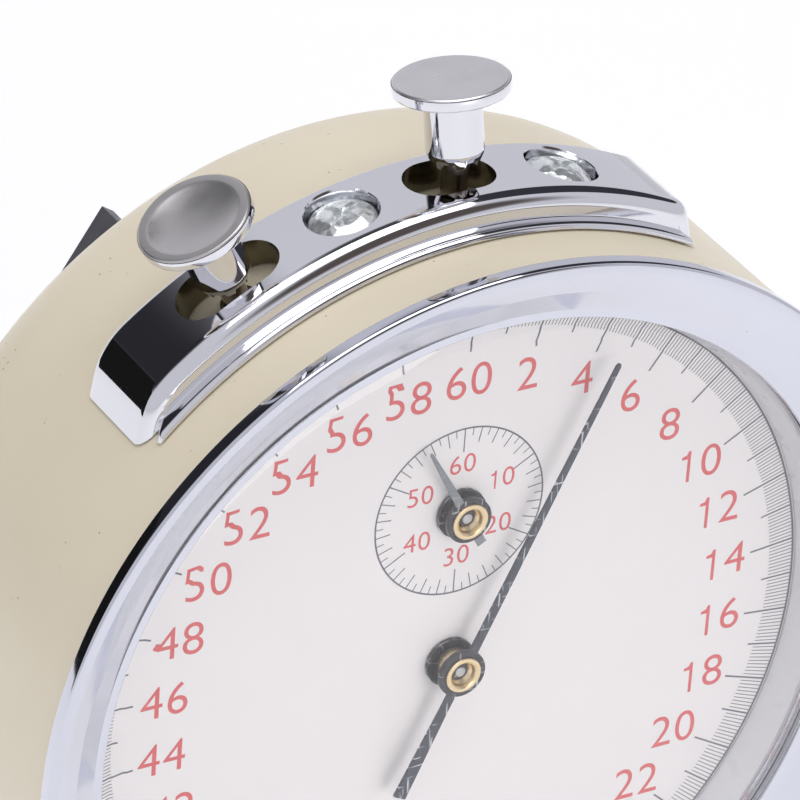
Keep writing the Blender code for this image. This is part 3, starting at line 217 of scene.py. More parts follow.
def worn_metal(name, color, mark, smooth, rough, metallic=1.0, marks=0.5):
    """Metal with fine crossed scratches that show a brighter colour."""
    nodes = Nodes(name, color, smooth, metallic)
    first = nodes.noise(1.0, 2.0, nodes.stretched((2600.0, 190.0, 900.0), 0.5), 0.4)
    second = nodes.noise(1.0, 2.0, nodes.stretched((210.0, 2400.0, 900.0), -0.35), 0.4)
    lines = nodes.math("MAXIMUM", nodes.ranged(first, 0.63, 0.69), nodes.ranged(second, 0.64, 0.70))
    shade = nodes.mixed(nodes.noise(700.0, 3.0), tuple(value * 0.8 for value in color), color)
    nodes.color(nodes.mixed(nodes.math("MULTIPLY", lines, marks), shade, mark))
    nodes.roughness(nodes.ranged(nodes.noise(500.0), 0.3, 0.7, smooth, rough))
    nodes.bump(lines, 0.15)
    return nodes.material


def satin(name, color, smooth, rough, metallic=1.0, scale=300.0):
    """Metal or lacquer with an even grain and a soft change of tone."""
    nodes = Nodes(name, color, smooth, metallic)
    nodes.color(nodes.mixed(nodes.noise(90.0, 4.0), tuple(value * 0.86 for value in color), color))
    nodes.roughness(nodes.ranged(nodes.noise(scale), 0.3, 0.7, smooth, rough))
    nodes.bump(nodes.noise(scale * 9.0, 2.0), 0.05)
    return nodes.material


def matt(name, color, second, roughness, scale=400.0, bump=0.05, metallic=0.0):
    """Paint, print or rubber with a mottled colour and a fine tooth."""
    nodes = Nodes(name, color, roughness, metallic)
    nodes.color(nodes.mixed(nodes.noise(scale, 4.0), color, second))
    smoothest = roughness * 0.85
    roughest = min(1.0, roughness * 1.15)
    nodes.roughness(nodes.ranged(nodes.noise(scale * 1.7), 0.3, 0.7, smoothest, roughest))
    nodes.bump(nodes.noise(scale * 4.0, 2.0), bump)
    return nodes.material


def cast_screw():
    """Bright nickel over a coarse casting, which sparkles in small facets."""
    nodes = Nodes("screw_nickel", (0.92, 0.95, 0.96), 0.2, 0.75)
    grain = nodes.noise(900.0, 3.0)
    nodes.color(nodes.mixed(nodes.ranged(grain, 0.35, 0.6), (0.70, 0.74, 0.75), (0.97, 0.99, 0.99)))
    nodes.roughness(nodes.ranged(nodes.noise(420.0), 0.3, 0.7, 0.16, 0.34))
    nodes.bump(nodes.voronoi(820.0), 0.35, 0.0004)
    return nodes.material


def crystal_clear():
    """Moulded clear crystal, very slightly hazed by fine wear."""
    nodes = Nodes("clear_crystal", (0.99, 0.985, 0.985), 0.0)
    nodes.shader.inputs["Transmission Weight"].default_value = 1.0
    nodes.shader.inputs["IOR"].default_value = 1.49
    nodes.roughness(nodes.ranged(nodes.noise(300.0, 6.0), 0.55, 0.8, 0.0, 0.02))
    nodes.bump(nodes.noise(90.0, 1.0), 0.004)
    return nodes.material


CREAM = enamel()
CHROME = plated("bright_chrome", (0.83, 0.83, 0.87), 0.03, 0.07)
# Painted shade: the bezel uses the same chrome as the bracket, made darker and bluer.
BEZEL_CHROME_PAINTED_SHADE = plated("bezel_chrome_painted_shade", (0.72, 0.73, 0.80), 0.04, 0.09, 0.05)
CAP_GREY = satin("cap_grey_nickel", (0.60, 0.585, 0.58), 0.26, 0.36, 0.8)
CAP_LIGHT = satin("cap_light_nickel", (0.76, 0.75, 0.77), 0.26, 0.36, 0.85)
SCREW_METAL = cast_screw()
# Painted shade: the chrome walls of the bracket's slots are coloured dark olive, as if shadowed inside.
SLOT_PAINTED_SHADE = satin("slot_wall_painted_shade", (0.22, 0.20, 0.14), 0.14, 0.28)
PIN_METAL = satin("pin_steel", (0.50, 0.44, 0.40), 0.18, 0.3)
GUIDE_METAL = satin("guide_dark_brass", (0.30, 0.27, 0.20), 0.25, 0.4)
STEEL = satin("movement_steel", (0.56, 0.57, 0.60), 0.25, 0.4)
BRASS = satin("movement_brass", (0.76, 0.58, 0.29), 0.25, 0.4)
COLLET_BRASS = satin("collet_brass", (0.93, 0.74, 0.44), 0.22, 0.36)
HAND_STEEL = worn_metal("hand_blue_steel", (0.06, 0.067, 0.09), (0.80, 0.83, 0.88), 0.34, 0.5, 0.4, 0.8)
COLLAR_STEEL = worn_metal("collar_dark_steel", (0.06, 0.06, 0.07), (0.72, 0.74, 0.78), 0.25, 0.42, 0.8, 0.6)
# Painted sheen: the minute hand's steel is coloured a lighter grey than the seconds hand's blued steel.
MINUTE_STEEL_PAINTED_SHEEN = worn_metal("minute_steel_painted_sheen", (0.27, 0.29, 0.31), (0.60, 0.62, 0.65), 0.3, 0.5, 0.7, 0.3)
GLASS = crystal_clear()
DIAL_WHITE = matt("dial_enamel", (0.86, 0.83, 0.83), (0.87, 0.845, 0.84), 0.5, 120.0, 0.02)
RING_GREY = matt("ring_lacquer", (0.74, 0.745, 0.78), (0.77, 0.775, 0.80), 0.3, 200.0, 0.02)
RED_INK = matt("red_ink", (0.68, 0.09, 0.10), (0.74, 0.15, 0.15), 0.55, 900.0, 0.05)
GREY_INK = matt("grey_ink", (0.10, 0.105, 0.135), (0.17, 0.175, 0.205), 0.55, 900.0, 0.05)
KEY_PAINT = matt("key_grey_paint", (0.11, 0.11, 0.125), (0.15, 0.15, 0.165), 0.42, 500.0, 0.1, 0.4)
RUBBER = matt("foot_rubber", (0.03, 0.03, 0.03), (0.05, 0.05, 0.05), 0.8, 700.0, 0.3)
BLUED = satin("spring_blue_steel", (0.06, 0.08, 0.15), 0.25, 0.4)


# Placing and meshing


DIAL = Matrix.Translation([value * MM for value in DIAL_CENTRE]) @ Matrix.Rotation(math.radians(90), 4, "X")


def on_dial(x=0.0, y=0.0, z=0.0):
    return DIAL @ Matrix.Translation((x * MM, y * MM, z * MM))


def on_rim(angle):
    """Frame whose z points out of the drum's side at the angle, on the buttons' line."""
    turn = Matrix.Rotation(-math.radians(angle), 4, "Z")
    level = Matrix.Translation((0.0, 0.0, BUTTON_Z * MM))
    return DIAL @ turn @ level @ Matrix.Rotation(math.radians(-90), 4, "X")


def finished(name, shape, material, matrix, body, replaced=(), sharp=32.0):
    """Turns a bmesh in millimetres into a piece that rides on its body."""
    bmesh.ops.recalc_face_normals(shape, faces=shape.faces)
    mesh = bpy.data.meshes.new(name)
    shape.to_mesh(mesh)
    shape.free()
    mesh.transform(Matrix.Scale(MM, 4))
    mesh.materials.append(material)
    mesh.shade_smooth()
    mesh.set_sharp_from_angle(angle=math.radians(sharp))
    piece = bpy.data.objects.new(name, mesh)
    bpy.context.scene.collection.objects.link(piece)
    piece.matrix_world = matrix
    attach(piece, body)
    if replaced:
        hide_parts(*replaced)
    return piece


def fillet(corners, steps=5):
    """Rounds each corner (r, z, radius) of an open or closed outline to an arc, and returns plain points."""
    points = []
    count = len(corners)
    for index, (r, z, radius) in enumerate(corners):
        if radius <= 0.0:
            points.append((r, z))
            continue
        corner = Vector((r, z))
        before = Vector(corners[index - 1][:2]) - corner
        after = Vector(corners[(index + 1) % count][:2]) - corner
        half = before.angle(after) / 2
        reach = min(radius / math.tan(half), before.length * 0.49, after.length * 0.49)
        start = corner + before.normalized() * reach
        end = corner + after.normalized() * reach
        for step in range(steps + 1):
            t = step / steps
            point = start * (1 - t) ** 2 + corner * 2 * t * (1 - t) + end * t**2
            points.append((point.x, point.y))
    return points


def lathe(corners, segments=128, closed=True, steps=5):
    """A surface of revolution about z from filleted corners. An open profile is left open."""
    shape = bmesh.new()
    profile = fillet(corners, steps)
    rings = []
    for r, z in profile:
        if r < 1e-6:
            rings.append([shape.verts.new((0.0, 0.0, z))])
            continue
        ring = []
        for step in range(segments):
            angle = math.tau * step / segments
            ring.append(shape.verts.new((r * math.sin(angle), r * math.cos(angle), z)))
        rings.append(ring)
    pairs = list(zip(rings, rings[1:]))
    if closed and len(rings[0]) > 1 and len(rings[-1]) > 1:
        pairs.append((rings[-1], rings[0]))
    for first, second in pairs:
        join_rings(shape, first, second)
    return shape


def join_rings(shape, first, second):
    count = max(len(first), len(second))
    for step in range(count):
        after = (step + 1) % count
        corners = [first[step % len(first)]]
        if len(first) > 1:
            corners.append(first[after])
        if len(second) > 1:
            corners.append(second[after])
        corners.append(second[step % len(second)])
        if len(set(corners)) > 2:
            shape.faces.new(corners)


def polar(radius, angle, centre=(0.0, 0.0)):
    angle = math.radians(angle)
    return (centre[0] + radius * math.sin(angle), centre[1] + radius * math.cos(angle))


def prism(outline, z_top, z_bottom, bevel=0.0, shape=None):
    """An extruded outline, with its top edge chamfered by the bevel."""
    shape = shape or bmesh.new()
    layers = [(z_bottom, 0.0), (z_top - bevel, 0.0)]
    if bevel > 0.0:
        layers.append((z_top, bevel))
    rings = []
    for z, inset in layers:
        ring = inset_outline(outline, inset)
        rings.append([shape.verts.new((x, y, z)) for x, y in ring])
    for first, second in zip(rings, rings[1:]):
        join_rings(shape, first, second)
    shape.faces.new(rings[0][::-1])
    shape.faces.new(rings[-1])
    return shape


def inset_outline(outline, inset):
    """The outline moved inwards. It runs clockwise seen from +z."""
    if inset == 0.0:
        return outline
    moved = []
    count = len(outline)
    for index, point in enumerate(outline):
        here = Vector(point)
        before = (here - Vector(outline[index - 1])).normalized()
        after = (Vector(outline[(index + 1) % count]) - here).normalized()
        side = Vector((before.y + after.y, -before.x - after.x))
        side.normalize()
        spread = max(0.35, side.dot(Vector((before.y, -before.x))))
        moved.append(tuple(here + side * inset / spread))
    return moved


def cut(piece, cutters, cut_face_material=None):
    """Cuts the shapes out of the piece for good, then removes them. The cut faces take the given material,
    or else the piece's own.
    """
    for index, (shape, matrix) in enumerate(cutters):
        mesh = bpy.data.meshes.new("cutter")
        bmesh.ops.recalc_face_normals(shape, faces=shape.faces)
        shape.to_mesh(mesh)
        shape.free()
        mesh.transform(Matrix.Scale(MM, 4))
        mesh.materials.append(cut_face_material or piece.data.materials[0])
        cutter = bpy.data.objects.new("cutter", mesh)
        bpy.context.scene.collection.objects.link(cutter)
        cutter.matrix_world = matrix
        modifier = piece.modifiers.new(f"cut_{index}", "BOOLEAN")
        modifier.solver = "EXACT"
        modifier.operation = "DIFFERENCE"
        modifier.material_mode = "TRANSFER"
        modifier.object = cutter
        bpy.context.view_layer.update()
        graph = bpy.context.evaluated_depsgraph_get()
        result = bpy.data.meshes.new_from_object(piece.evaluated_get(graph))
        piece.modifiers.clear()
        piece.data = result
        bpy.data.objects.remove(cutter, do_unlink=True)
    piece.data.shade_smooth()
    piece.data.set_sharp_from_angle(angle=math.radians(32))


def stadium(length, width, steps=16):
    half = (length - width) / 2
    right = [polar(width / 2, 180 * step / steps, (half, 0.0)) for step in range(steps + 1)]
    left = [polar(width / 2, 180 + 180 * step / steps, (-half, 0.0)) for step in range(steps + 1)]
    return right + left


# Case, bezel, crystal and dial


def make_case():
    opening = BACK_OPENING_RADIUS
    bore = CASE_RADIUS - CASE_WALL
    shape = lathe(
        [
            (CASE_RADIUS, CASE_FRONT_Z, 0.5),
            (CASE_RADIUS, CASE_BACK_Z, SHOULDER_RADIUS),
            (opening, CASE_BACK_Z, 0.4),
            (opening, CASE_BACK_Z + CASE_WALL, 0.2),
            (bore, CASE_BACK_Z + CASE_WALL, SHOULDER_RADIUS - CASE_WALL),
            (bore, CASE_FRONT_Z, 0.3),
        ],
        192,
        steps=12,
    )
    case = finished("cream_case", shape, CREAM, DIAL, "case", ["case_drum"])
    holes = []
    for angle in (START_ANGLE, RESET_ANGLE):
        radius = GUIDE_RADIUS + 0.1
        hole = lathe([(0.0, 66.0, 0), (radius, 66.0, 0), (radius, 56.0, 0), (0.0, 56.0, 0)], 32)
        holes.append((hole, on_rim(angle)))
    cut(case, holes)


def make_bezel():
    shape = lathe(
        [
            (62.95, 10.6, 0.2),
            (62.95, 12.75, 0.9),
            (61.6, 12.72, 0.6),
            (58.2, 11.0, 3.0),
            (54.6, 8.95, 1.0),
            (53.4, 8.75, 0.3),
            (53.15, 8.2, 0.15),
            (54.6, 8.0, 0.0),
            (54.6, 5.4, 0.0),
            (60.5, 5.4, 0.0),
            (60.5, 10.6, 0.0),
        ],
        256,
        steps=7,
    )
    # The bezel's chrome carries painted shade, darker and bluer than the bracket's chrome.
    finished("chrome_bezel", shape, BEZEL_CHROME_PAINTED_SHADE, DIAL, "case", ["bezel"])


def make_crystal():
    """A shallow dome of even thickness, turned down a little more steeply just inside the bezel."""
    crown = 11.0
    shoulder = 51.9
    fall = 2.35
    outer = []
    for step in range(31):
        r = shoulder * step / 30
        outer.append((r, crown - fall * (r / shoulder) ** 2, 0.0))
    outer += [(53.2, 8.05, 0.0), (54.2, 7.55, 0.1), (54.2, 5.75, 0.1), (53.2, 5.75, 0.1), (53.0, 6.75, 0.2)]
    inner = [(r, z - CRYSTAL_THICKNESS, 0.0) for r, z, rounding in outer[30::-1]]
    shape = lathe(outer + inner, 192, closed=False)
    crystal = finished("domed_crystal", shape, GLASS, DIAL, "case", ["crystal"], sharp=60.0)
    crystal.visible_shadow = False


def make_ring():
    shape = lathe(
        [
            (60.4, 5.1, 0.1),
            (60.4, 0.3, 0.1),
            (51.75, 0.12, 0.05),
            (51.75, 0.45, 0.05),
            (53.2, 5.1, 0.3),
        ],
        192,
    )
    finished("dial_rehaut", shape, RING_GREY, DIAL, "case", ["dial_ring"])


def make_dial():
    disc = lathe([(0.0, 0.0, 0), (56.0, 0.0, 0.1), (56.0, -0.8, 0.1), (0.0, -0.8, 0)], 192)
    dial = finished("dial_face", disc, DIAL_WHITE, DIAL, "case", ["dial_plate"])
    holes = []
    for x, y in ((0.0, 0.0), MINUTE_CENTRE):
        hole = lathe([(0.0, 1.0, 0), (2.2, 1.0, 0), (2.2, -2.0, 0), (0.0, -2.0, 0)], 32)
        holes.append((hole, on_dial(x, y)))
    cut(dial, holes)


def tick(shape, angle, inner, outer, width, centre=(0.0, 0.0)):
    """One printed line, a thin raised bar of ink."""
    ahead = Vector(polar(1.0, angle))
    across = Vector((ahead.y, -ahead.x)) * width / 2
    base = Vector(centre)
    outline = [base + ahead * inner - across, base + ahead * outer - across]
    outline += [base + ahead * outer + across, base + ahead * inner + across]
    prism([tuple(point) for point in outline], 0.03, 0.003, 0.0, shape)


def make_scales():
    shape = bmesh.new()
    outer = 51.3
    for step in range(600):
        angle = step * 0.6
        if step % 20 == 0:
            tick(shape, angle, 45.0, outer, 0.24)
        elif step % 10 == 0:
            tick(shape, angle, 46.9, outer, 0.22)
        else:
            tick(shape, angle, 47.9, outer, 0.10)
    for step in range(60):
        angle = step * 6.0
        if step % 10 == 0:
            tick(shape, angle, 8.65, 12.0, 0.16, MINUTE_CENTRE)
        elif step % 2 == 0:
            tick(shape, angle, 9.9, 12.0, 0.13, MINUTE_CENTRE)
        else:
            tick(shape, angle, 10.9, 12.0, 0.11, MINUTE_CENTRE)
    finished("printed_scales", shape, GREY_INK, DIAL, "case")
    ring = lathe([(12.15, 0.03, 0), (12.15, 0.003, 0), (11.93, 0.003, 0), (11.93, 0.03, 0)], 128)
    finished("minute_circle", ring, GREY_INK, on_dial(*MINUTE_CENTRE), "case")
    edge = lathe([(51.62, 0.03, 0), (51.62, 0.003, 0), (51.32, 0.003, 0), (51.32, 0.03, 0)], 192)
    finished("outer_circle", edge, GREY_INK, DIAL, "case")


def add_digit(shape, digit, place, size):
    curve = bpy.data.curves.new("numeral", "FONT")
    curve.body = digit
    curve.size = size
    curve.align_x = "CENTER"
    curve.align_y = "CENTER"
    curve.extrude = 0.015
    curve.offset = -0.006 * size
    curve.resolution_u = 6
    holder = bpy.data.objects.new("numeral", curve)
    bpy.context.scene.collection.objects.link(holder)
    graph = bpy.context.evaluated_depsgraph_get()
    letters = bpy.data.meshes.new_from_object(holder.evaluated_get(graph))
    letters.transform(Matrix.Translation((place.x, place.y, 0.018)))
    shape.from_mesh(letters)
    bpy.data.objects.remove(holder, do_unlink=True)
    bpy.data.meshes.remove(letters)


def make_numerals():
    shape = bmesh.new()
    places = []
    for value in range(2, 61, 2):
        places.append((str(value), polar(40.9, value * 6.0), 6.8))
    for value in range(10, 61, 10):
        places.append((str(value), polar(6.75, value * 6.0, MINUTE_CENTRE), 3.9))
    for text, (x, y), size in places:
        start = -0.5 * DIGIT_PITCH * (len(text) - 1)
        for index, digit in enumerate(text):
            place = Vector((x + (start + DIGIT_PITCH * index) * size, y))
            if digit == "1":
                outline = [tuple(place + Vector(corner) * size) for corner in FIGURE_ONE]
                prism(outline, 0.033, 0.003, 0.0, shape)
            else:
                add_digit(shape, digit, place, size)
    finished("printed_numerals", shape, RED_INK, DIAL, "case")


# Bracket, screws and buttons


def bracket_outline(outer, end_inset):
    """The bracket's plan at one level: outer arc, sloping ends with rounded shoulders, and the foot arc."""
    corners = []
    for side, base_angle, top_angle in zip((-1, 1), BASE_ANGLES, TOP_ANGLES):
        base = Vector(polar(FOOT_RADIUS, base_angle))
        top = Vector(polar(TOP_RADIUS, top_angle))
        slope = (top - base).normalized()
        base = base + Vector((-side * slope.y, side * slope.x)) * end_inset
        reach = base + slope * along_to_radius(base, slope, outer)
        foot = base + slope * along_to_radius(base, slope, FOOT_RADIUS)
        corners.append((foot, reach))
    left_foot, left_top = corners[0]
    right_foot, right_top = corners[1]
    left_rounding, right_rounding = SHOULDER_ROUNDING if outer > TOP_RADIUS - 2.0 else (0.5, 0.5)
    steps = 96
    first = compass(left_top) + math.degrees(left_rounding / outer)
    last = compass(right_top) - math.degrees(right_rounding / outer)
    points = [tuple(left_foot)]
    points += shoulder(left_foot, left_top, polar(outer, first), left_rounding)
    for step in range(1, steps):
        points.append(polar(outer, first + (last - first) * step / steps))
    points += shoulder(right_foot, right_top, polar(outer, last), right_rounding)[::-1]
    points.append(tuple(right_foot))
    first = compass(left_foot)
    last = compass(right_foot)
    for step in range(1, steps):
        points.append(polar(FOOT_RADIUS, last + (first - last) * step / steps))
    return points


def compass(point):
    """The point's angle from 12 o'clock, clockwise."""
    return math.degrees(math.atan2(point[0], point[1]))


def along_to_radius(base, slope, radius):
    """Distance along the slope from base to a radius about the dial's axis."""
    half = base.dot(slope)
    return -half + math.sqrt(half * half - base.length_squared + radius * radius)


def shoulder(foot, corner, on_arc, rounding, steps=8):
    """The rounded corner between a sloping end and the outer arc."""
    down = (foot - corner).normalized() * min(rounding, (foot - corner).length * 0.6)
    start = corner + down
    end = Vector(on_arc)
    points = []
    for step in range(steps + 1):
        t = step / steps
        point = start * (1 - t) ** 2 + corner * 2 * t * (1 - t) + end * t**2
        points.append(tuple(point))
    return points


def make_bracket():
    """Layers from the back flange to the front flange, each a plan outline at its own height and inset."""
    front = BRACKET_FRONT_Z
    flange = BRACKET_FLANGE_Z
    back = BRACKET_BACK_Z
    layers = [(back, 65.8, 0.35), (back + 0.25, 66.4, 0.1), (back + 0.8, TOP_RADIUS, 0.0)]
    layers += [(back + 0.9, TOP_RADIUS, 0.0), (front - BRACKET_EDGE - 0.1, TOP_RADIUS, 0.0)]
    for step in range(9):
        turn = math.radians(90 * step / 8)
        level = front - BRACKET_EDGE + BRACKET_EDGE * math.sin(turn)
        drop = BRACKET_EDGE * (1 - math.cos(turn))
        layers.append((level, TOP_RADIUS - drop, drop))
    layers += [(front + 0.02, 63.65, 2.02), (front + 0.06, 63.5, 1.9), (front + 0.2, 63.42, 1.7)]
    layers += [(flange - 0.75, 63.4, 1.2), (flange - 0.4, 63.33, 1.2), (flange - 0.12, 63.15, 1.3)]
    layers += [(flange, 62.95, 1.4)]
    shape = bmesh.new()
    rings = []
    for z, outer, inset in layers:
        rings.append([shape.verts.new((x, y, z)) for x, y in bracket_outline(outer, inset)])
    for first, second in zip(rings, rings[1:]):
        join_rings(shape, first, second)
    shape.faces.new(rings[0][::-1])
    shape.faces.new(rings[-1])
    bracket = finished("chrome_bracket", shape, CHROME, DIAL, "case", ["top_bracket"])
    slots = []
    for label, angle in (("start", START_SLOT_ANGLE), ("reset", RESET_ANGLE)):
        slots.append((prism(stadium(SLOT_LENGTHS[label], SLOT_WIDTH), 72.0, 58.0), on_rim(angle)))
    # The slots' cut walls take painted shade, a dark olive that stands in for the shadow inside them.
    cut(bracket, slots, SLOT_PAINTED_SHADE)
    cutters = []
    for angle in SCREW_ANGLES.values():
        recess = lathe(
            [
                (0.0, 70.0, 0),
                (RECESS_RADIUS + 0.5, 70.0, 0),
                (RECESS_RADIUS + 0.3, TOP_RADIUS + 0.1, 0.2),
                (RECESS_RADIUS, TOP_RADIUS - 0.3, 0.2),
                (RECESS_RADIUS, TOP_RADIUS - 3.0, 0),
                (0.0, TOP_RADIUS - 3.0, 0),
            ],
            64,
        )
        cutters.append((recess, on_rim(angle)))
    cut(bracket, cutters)


def make_bracket_screw(label):
    seat = 64.0
    crown = seat + 2.75
    shape = lathe(
        [
            (0.0, crown, 0),
            (2.6, crown - 0.25, 2.0),
            (4.1, crown - 1.1, 0.9),
            (4.5, crown - 1.8, 0.3),
            (4.5, seat, 0.1),
            (2.0, seat, 0.0),
            (2.0, 60.8, 0.0),
            (0.0, 60.8, 0.0),
        ],
        64,
    )
    matrix = on_rim(SCREW_ANGLES[label])
    node = f"bracket_screw_{label}"
    screw = finished(f"screw_{label}", shape, SCREW_METAL, matrix, "case", [node])
    cutters = []
    for quarter in range(2):
        outline = []
        for x, y in ((-2.6, -0.32), (-2.0, 0.42), (0.0, 0.5), (2.0, 0.42), (2.6, 0.32), (2.6, -0.32),
                     (2.0, -0.42), (0.0, -0.5), (-2.0, -0.42)):
            turn = math.radians(90.0 * quarter + 24.0)
            across = x * math.cos(turn) - y * math.sin(turn)
            along = x * math.sin(turn) + y * math.cos(turn)
            outline.append((across, along))
        cutters.append((prism(outline, crown + 1.0, crown - 0.9), matrix))
    centre_top = crown + 1.0
    centre_floor = crown - 1.3
    centre = lathe(
        [(0.0, centre_top, 0), (1.5, centre_top, 0), (0.5, centre_floor, 0), (0.0, centre_floor, 0)],
        24,
    )
    cutters.append((centre, matrix))
    cut(screw, cutters)


def make_button(label, angle, top, dish, lean, material):
    """The headed stem, which may lean back and left about its foot, and the straight pin it sits on."""
    body = f"{label}_plunger"
    matrix = on_rim(angle)
    under = top - CAP_THICKNESS
    foot = under - STEM_LENGTH
    about_foot = Matrix.Translation((0.0, 0.0, foot * MM))
    back, left = (math.radians(value) for value in lean)
    tip = Matrix.Rotation(-left, 4, "Y") @ Matrix.Rotation(-back, 4, "X")
    leaning = matrix @ about_foot @ tip @ about_foot.inverted()
    rim = CAP_RADIUS - 1.35
    profile = []
    for step in range(17):
        across = step / 16
        profile.append((rim * across, top - dish * (1 - across**2.4), 0.0))
    profile += [(rim + 0.15, top, 0.0), (CAP_RADIUS - 0.3, top, 0.2), (CAP_RADIUS, top - 0.3, 0.1)]
    cap = lathe(profile, 96, closed=False)
    finished(f"{label}_cap_face", cap, material, leaning, body)
    shape = lathe(
        [
            (CAP_RADIUS, top - 0.3, 0),
            (CAP_RADIUS + 0.02, top - 0.7, 0.2),
            (CAP_RADIUS, under + 0.25, 0.25),
            (CAP_RADIUS - 0.5, under, 0.3),
            (STEM_RADIUS + 0.7, under - 0.15, 0.6),
            (STEM_RADIUS - 0.1, under - 0.8, 0.5),
            (STEM_RADIUS, foot + 1.9, 0.5),
            (STEM_RADIUS - 0.15, foot + 1.4, 0.2),
            (STEM_RADIUS - 0.8, foot, 0.15),
            (PIN_RADIUS + 0.35, foot, 0.1),
            (PIN_RADIUS + 1.1, foot + 5.0, 0),
            (0.0, foot + 5.0, 0),
        ],
        96,
        closed=False,
    )
    stem = finished(f"{label}_stem", shape, CHROME, leaning, body, [f"{label}_button"])
    notches = []
    for step in range(3):
        notch = prism([(-1.0, -6.0), (-1.0, 6.0), (1.0, 6.0), (1.0, -6.0)], foot + 0.9, foot - 1.0)
        notches.append((notch, leaning @ Matrix.Rotation(math.radians(60 * step + 12), 4, "Z")))
    cut(stem, notches)
    pin = lathe(
        [
            (0.0, foot + 4.3, 0),
            (PIN_RADIUS, foot + 4.3, 0),
            (PIN_RADIUS, 59.2, 0),
            (2.6, 59.2, 0.1),
            (2.6, 58.0, 0.1),
            (PIN_RADIUS, 58.0, 0),
            (PIN_RADIUS, 50.1, 0.2),
            (1.2, 49.6, 0.2),
            (0.0, 49.6, 0),
        ],
        32,
    )
    finished(f"{label}_pin", pin, PIN_METAL, matrix, body, [f"{label}_button_pin"])
    guide = lathe(
        [
            (GUIDE_RADIUS, 63.0, 0.3),
            (GUIDE_RADIUS, 59.8, 0),
            (PIN_RADIUS + 0.12, 59.8, 0),
            (PIN_RADIUS + 0.12, 63.0, 0.1),
        ],
        48,
    )
    finished(f"{label}_guide", guide, GUIDE_METAL, matrix, "case", [f"{label}_bush"])


# Hands


def blade_outline(angle, length, tail, root, tip, tail_width):
    """A tapered blade with a wider tail, clockwise from the tail's left corner."""
    tail_end = (-tail_width / 2, -tail)
    tip_end = (-tip / 2, length - tip / 2)
    left = [tail_end, (-root / 2, -tail * 0.3), (-root / 2, 3.0), tip_end]
    right = [(-x, y) for x, y in left[::-1]]
    points = left + [(-tip / 5, length), (tip / 5, length)] + right
    turn = math.radians(angle)
    cos = math.cos(turn)
    sin = math.sin(turn)
    return [(x * cos + y * sin, -x * sin + y * cos) for x, y in points]


def make_hand(label, centre, outline, plate_z, radius, material):
    body = f"{label}_work"
    matrix = on_dial(*centre)
    blade = prism(outline, plate_z, plate_z - PLATE_THICKNESS, 0.07)
    hand = finished(f"{label}_blade", blade, material, matrix, body, [f"{label}_hand"])
    cut(hand, [(lathe([(0, 9, 0), (2.55, 9, 0), (2.55, 1, 0), (0, 1, 0)], 48), matrix)])
    ring = lathe(
        [
            (radius, plate_z + 0.02, 0.12),
            (radius, plate_z - PLATE_THICKNESS - 0.45, 0.12),
            (2.55, plate_z - PLATE_THICKNESS - 0.45, 0),
            (2.55, plate_z + 0.02, 0),
        ],
        64,
    )
    finished(f"{label}_hub_ring", ring, COLLAR_STEEL, matrix, body)
    collar = lathe(
        [(radius - 0.05, 0.9, 0.2), (radius - 0.05, 0.25, 0.1), (1.2, 0.25, 0), (1.2, 0.9, 0)],
        64,
    )
    finished(f"{label}_base_collar", collar, COLLAR_STEEL, matrix, body)
    top = plate_z + 0.35
    collet = lathe(
        [
            (2.5, top, 0.2),
            (2.5, plate_z - 0.2, 0.0),
            (2.35, plate_z - 0.9, 0.2),
            (2.4, 1.0, 0.0),
            (1.05, 1.0, 0.0),
            (1.05, top - 1.3, 0.1),
            (1.6, top - 0.75, 0.1),
            (1.75, top - 0.15, 0.1),
            (2.0, top, 0.1),
        ],
        64,
    )
    finished(f"{label}_brass_collet", collet, COLLET_BRASS, matrix, body, [f"{label}_collet"])
    tip = lathe(
        [
            (0.0, top - 0.75, 0),
            (0.65, top - 0.85, 0.3),
            (0.95, top - 1.3, 0.1),
            (0.95, 0.5, 0),
            (0.0, 0.5, 0),
        ],
        32,
    )
    finished(f"{label}_arbor_tip", tip, STEEL, matrix, body)


# Back and feet


def make_back_cover():
    hole = 3.2
    shape = lathe(
        [
            (44.0, -40.1, 0.1),
            (44.0, -41.3, 0.5),
            (39.0, -41.3, 0.0),
            (38.4, -41.1, 0.1),
            (37.8, -41.3, 0.0),
            (0.0, -41.3, 0.0),
            (0.0, -40.1, 0.0),
        ],
        160,
        closed=False,
    )
    cover = finished("chrome_back_cover", shape, CHROME, DIAL, "case", ["back_cover"])
    cutters = [(lathe([(0, -38, 0), (hole, -38, 0), (hole, -44, 0), (0, -44, 0)], 48), on_dial(-27.5, 18.5))]
    for index in range(3):
        x, y = polar(40.8, 60 + 120 * index)
        cutters.append((lathe([(0, -38, 0), (1.5, -38, 0), (1.5, -44, 0), (0, -44, 0)], 24), on_dial(x, y)))
    cut(cover, cutters)


def keep_nodes():
    """The CAD nodes that stay: each gets a finished material and the outer ones a softened edge."""
    groups = {
        "winding_key": (KEY_PAINT, 0.5),
        "foot_left": (CHROME, 0.8),
        "foot_right": (CHROME, 0.8),
        "foot_pad_left": (RUBBER, 0.4),
        "foot_pad_right": (RUBBER, 0.4),
        "back_cover_screw_1": (SCREW_METAL, 0.2),
        "back_cover_screw_2": (SCREW_METAL, 0.2),
        "back_cover_screw_3": (SCREW_METAL, 0.2),
    }
    for name, (material, width) in groups.items():
        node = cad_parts[name]
        dress(node, material)
        bevel = node.modifiers.new("soft_edges", "BEVEL")
        bevel.width = width * MM
        bevel.segments = 3
        bevel.limit_method = "ANGLE"
        bevel.angle_limit = math.radians(35)
    inner = {
        BRASS: ("movement_front_plate", "movement_back_plate", "fourth_wheel", "minute_wheel",
                "transfer_wheel", "third_wheel", "barrel_drum", "escape_wheel", "balance_wheel"),
        BLUED: ("mainspring", "hairspring"),
        COLLAR_STEEL: ("seconds_arbor", "minute_arbor"),
    }
    chosen = {name: material for material, names in inner.items() for name in names}
    for name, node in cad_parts.items():
        if name not in groups:
            dress(node, chosen.get(name, STEEL))


def dress(node, material):
    for slot in node.material_slots:
        slot.material = material


# Studio


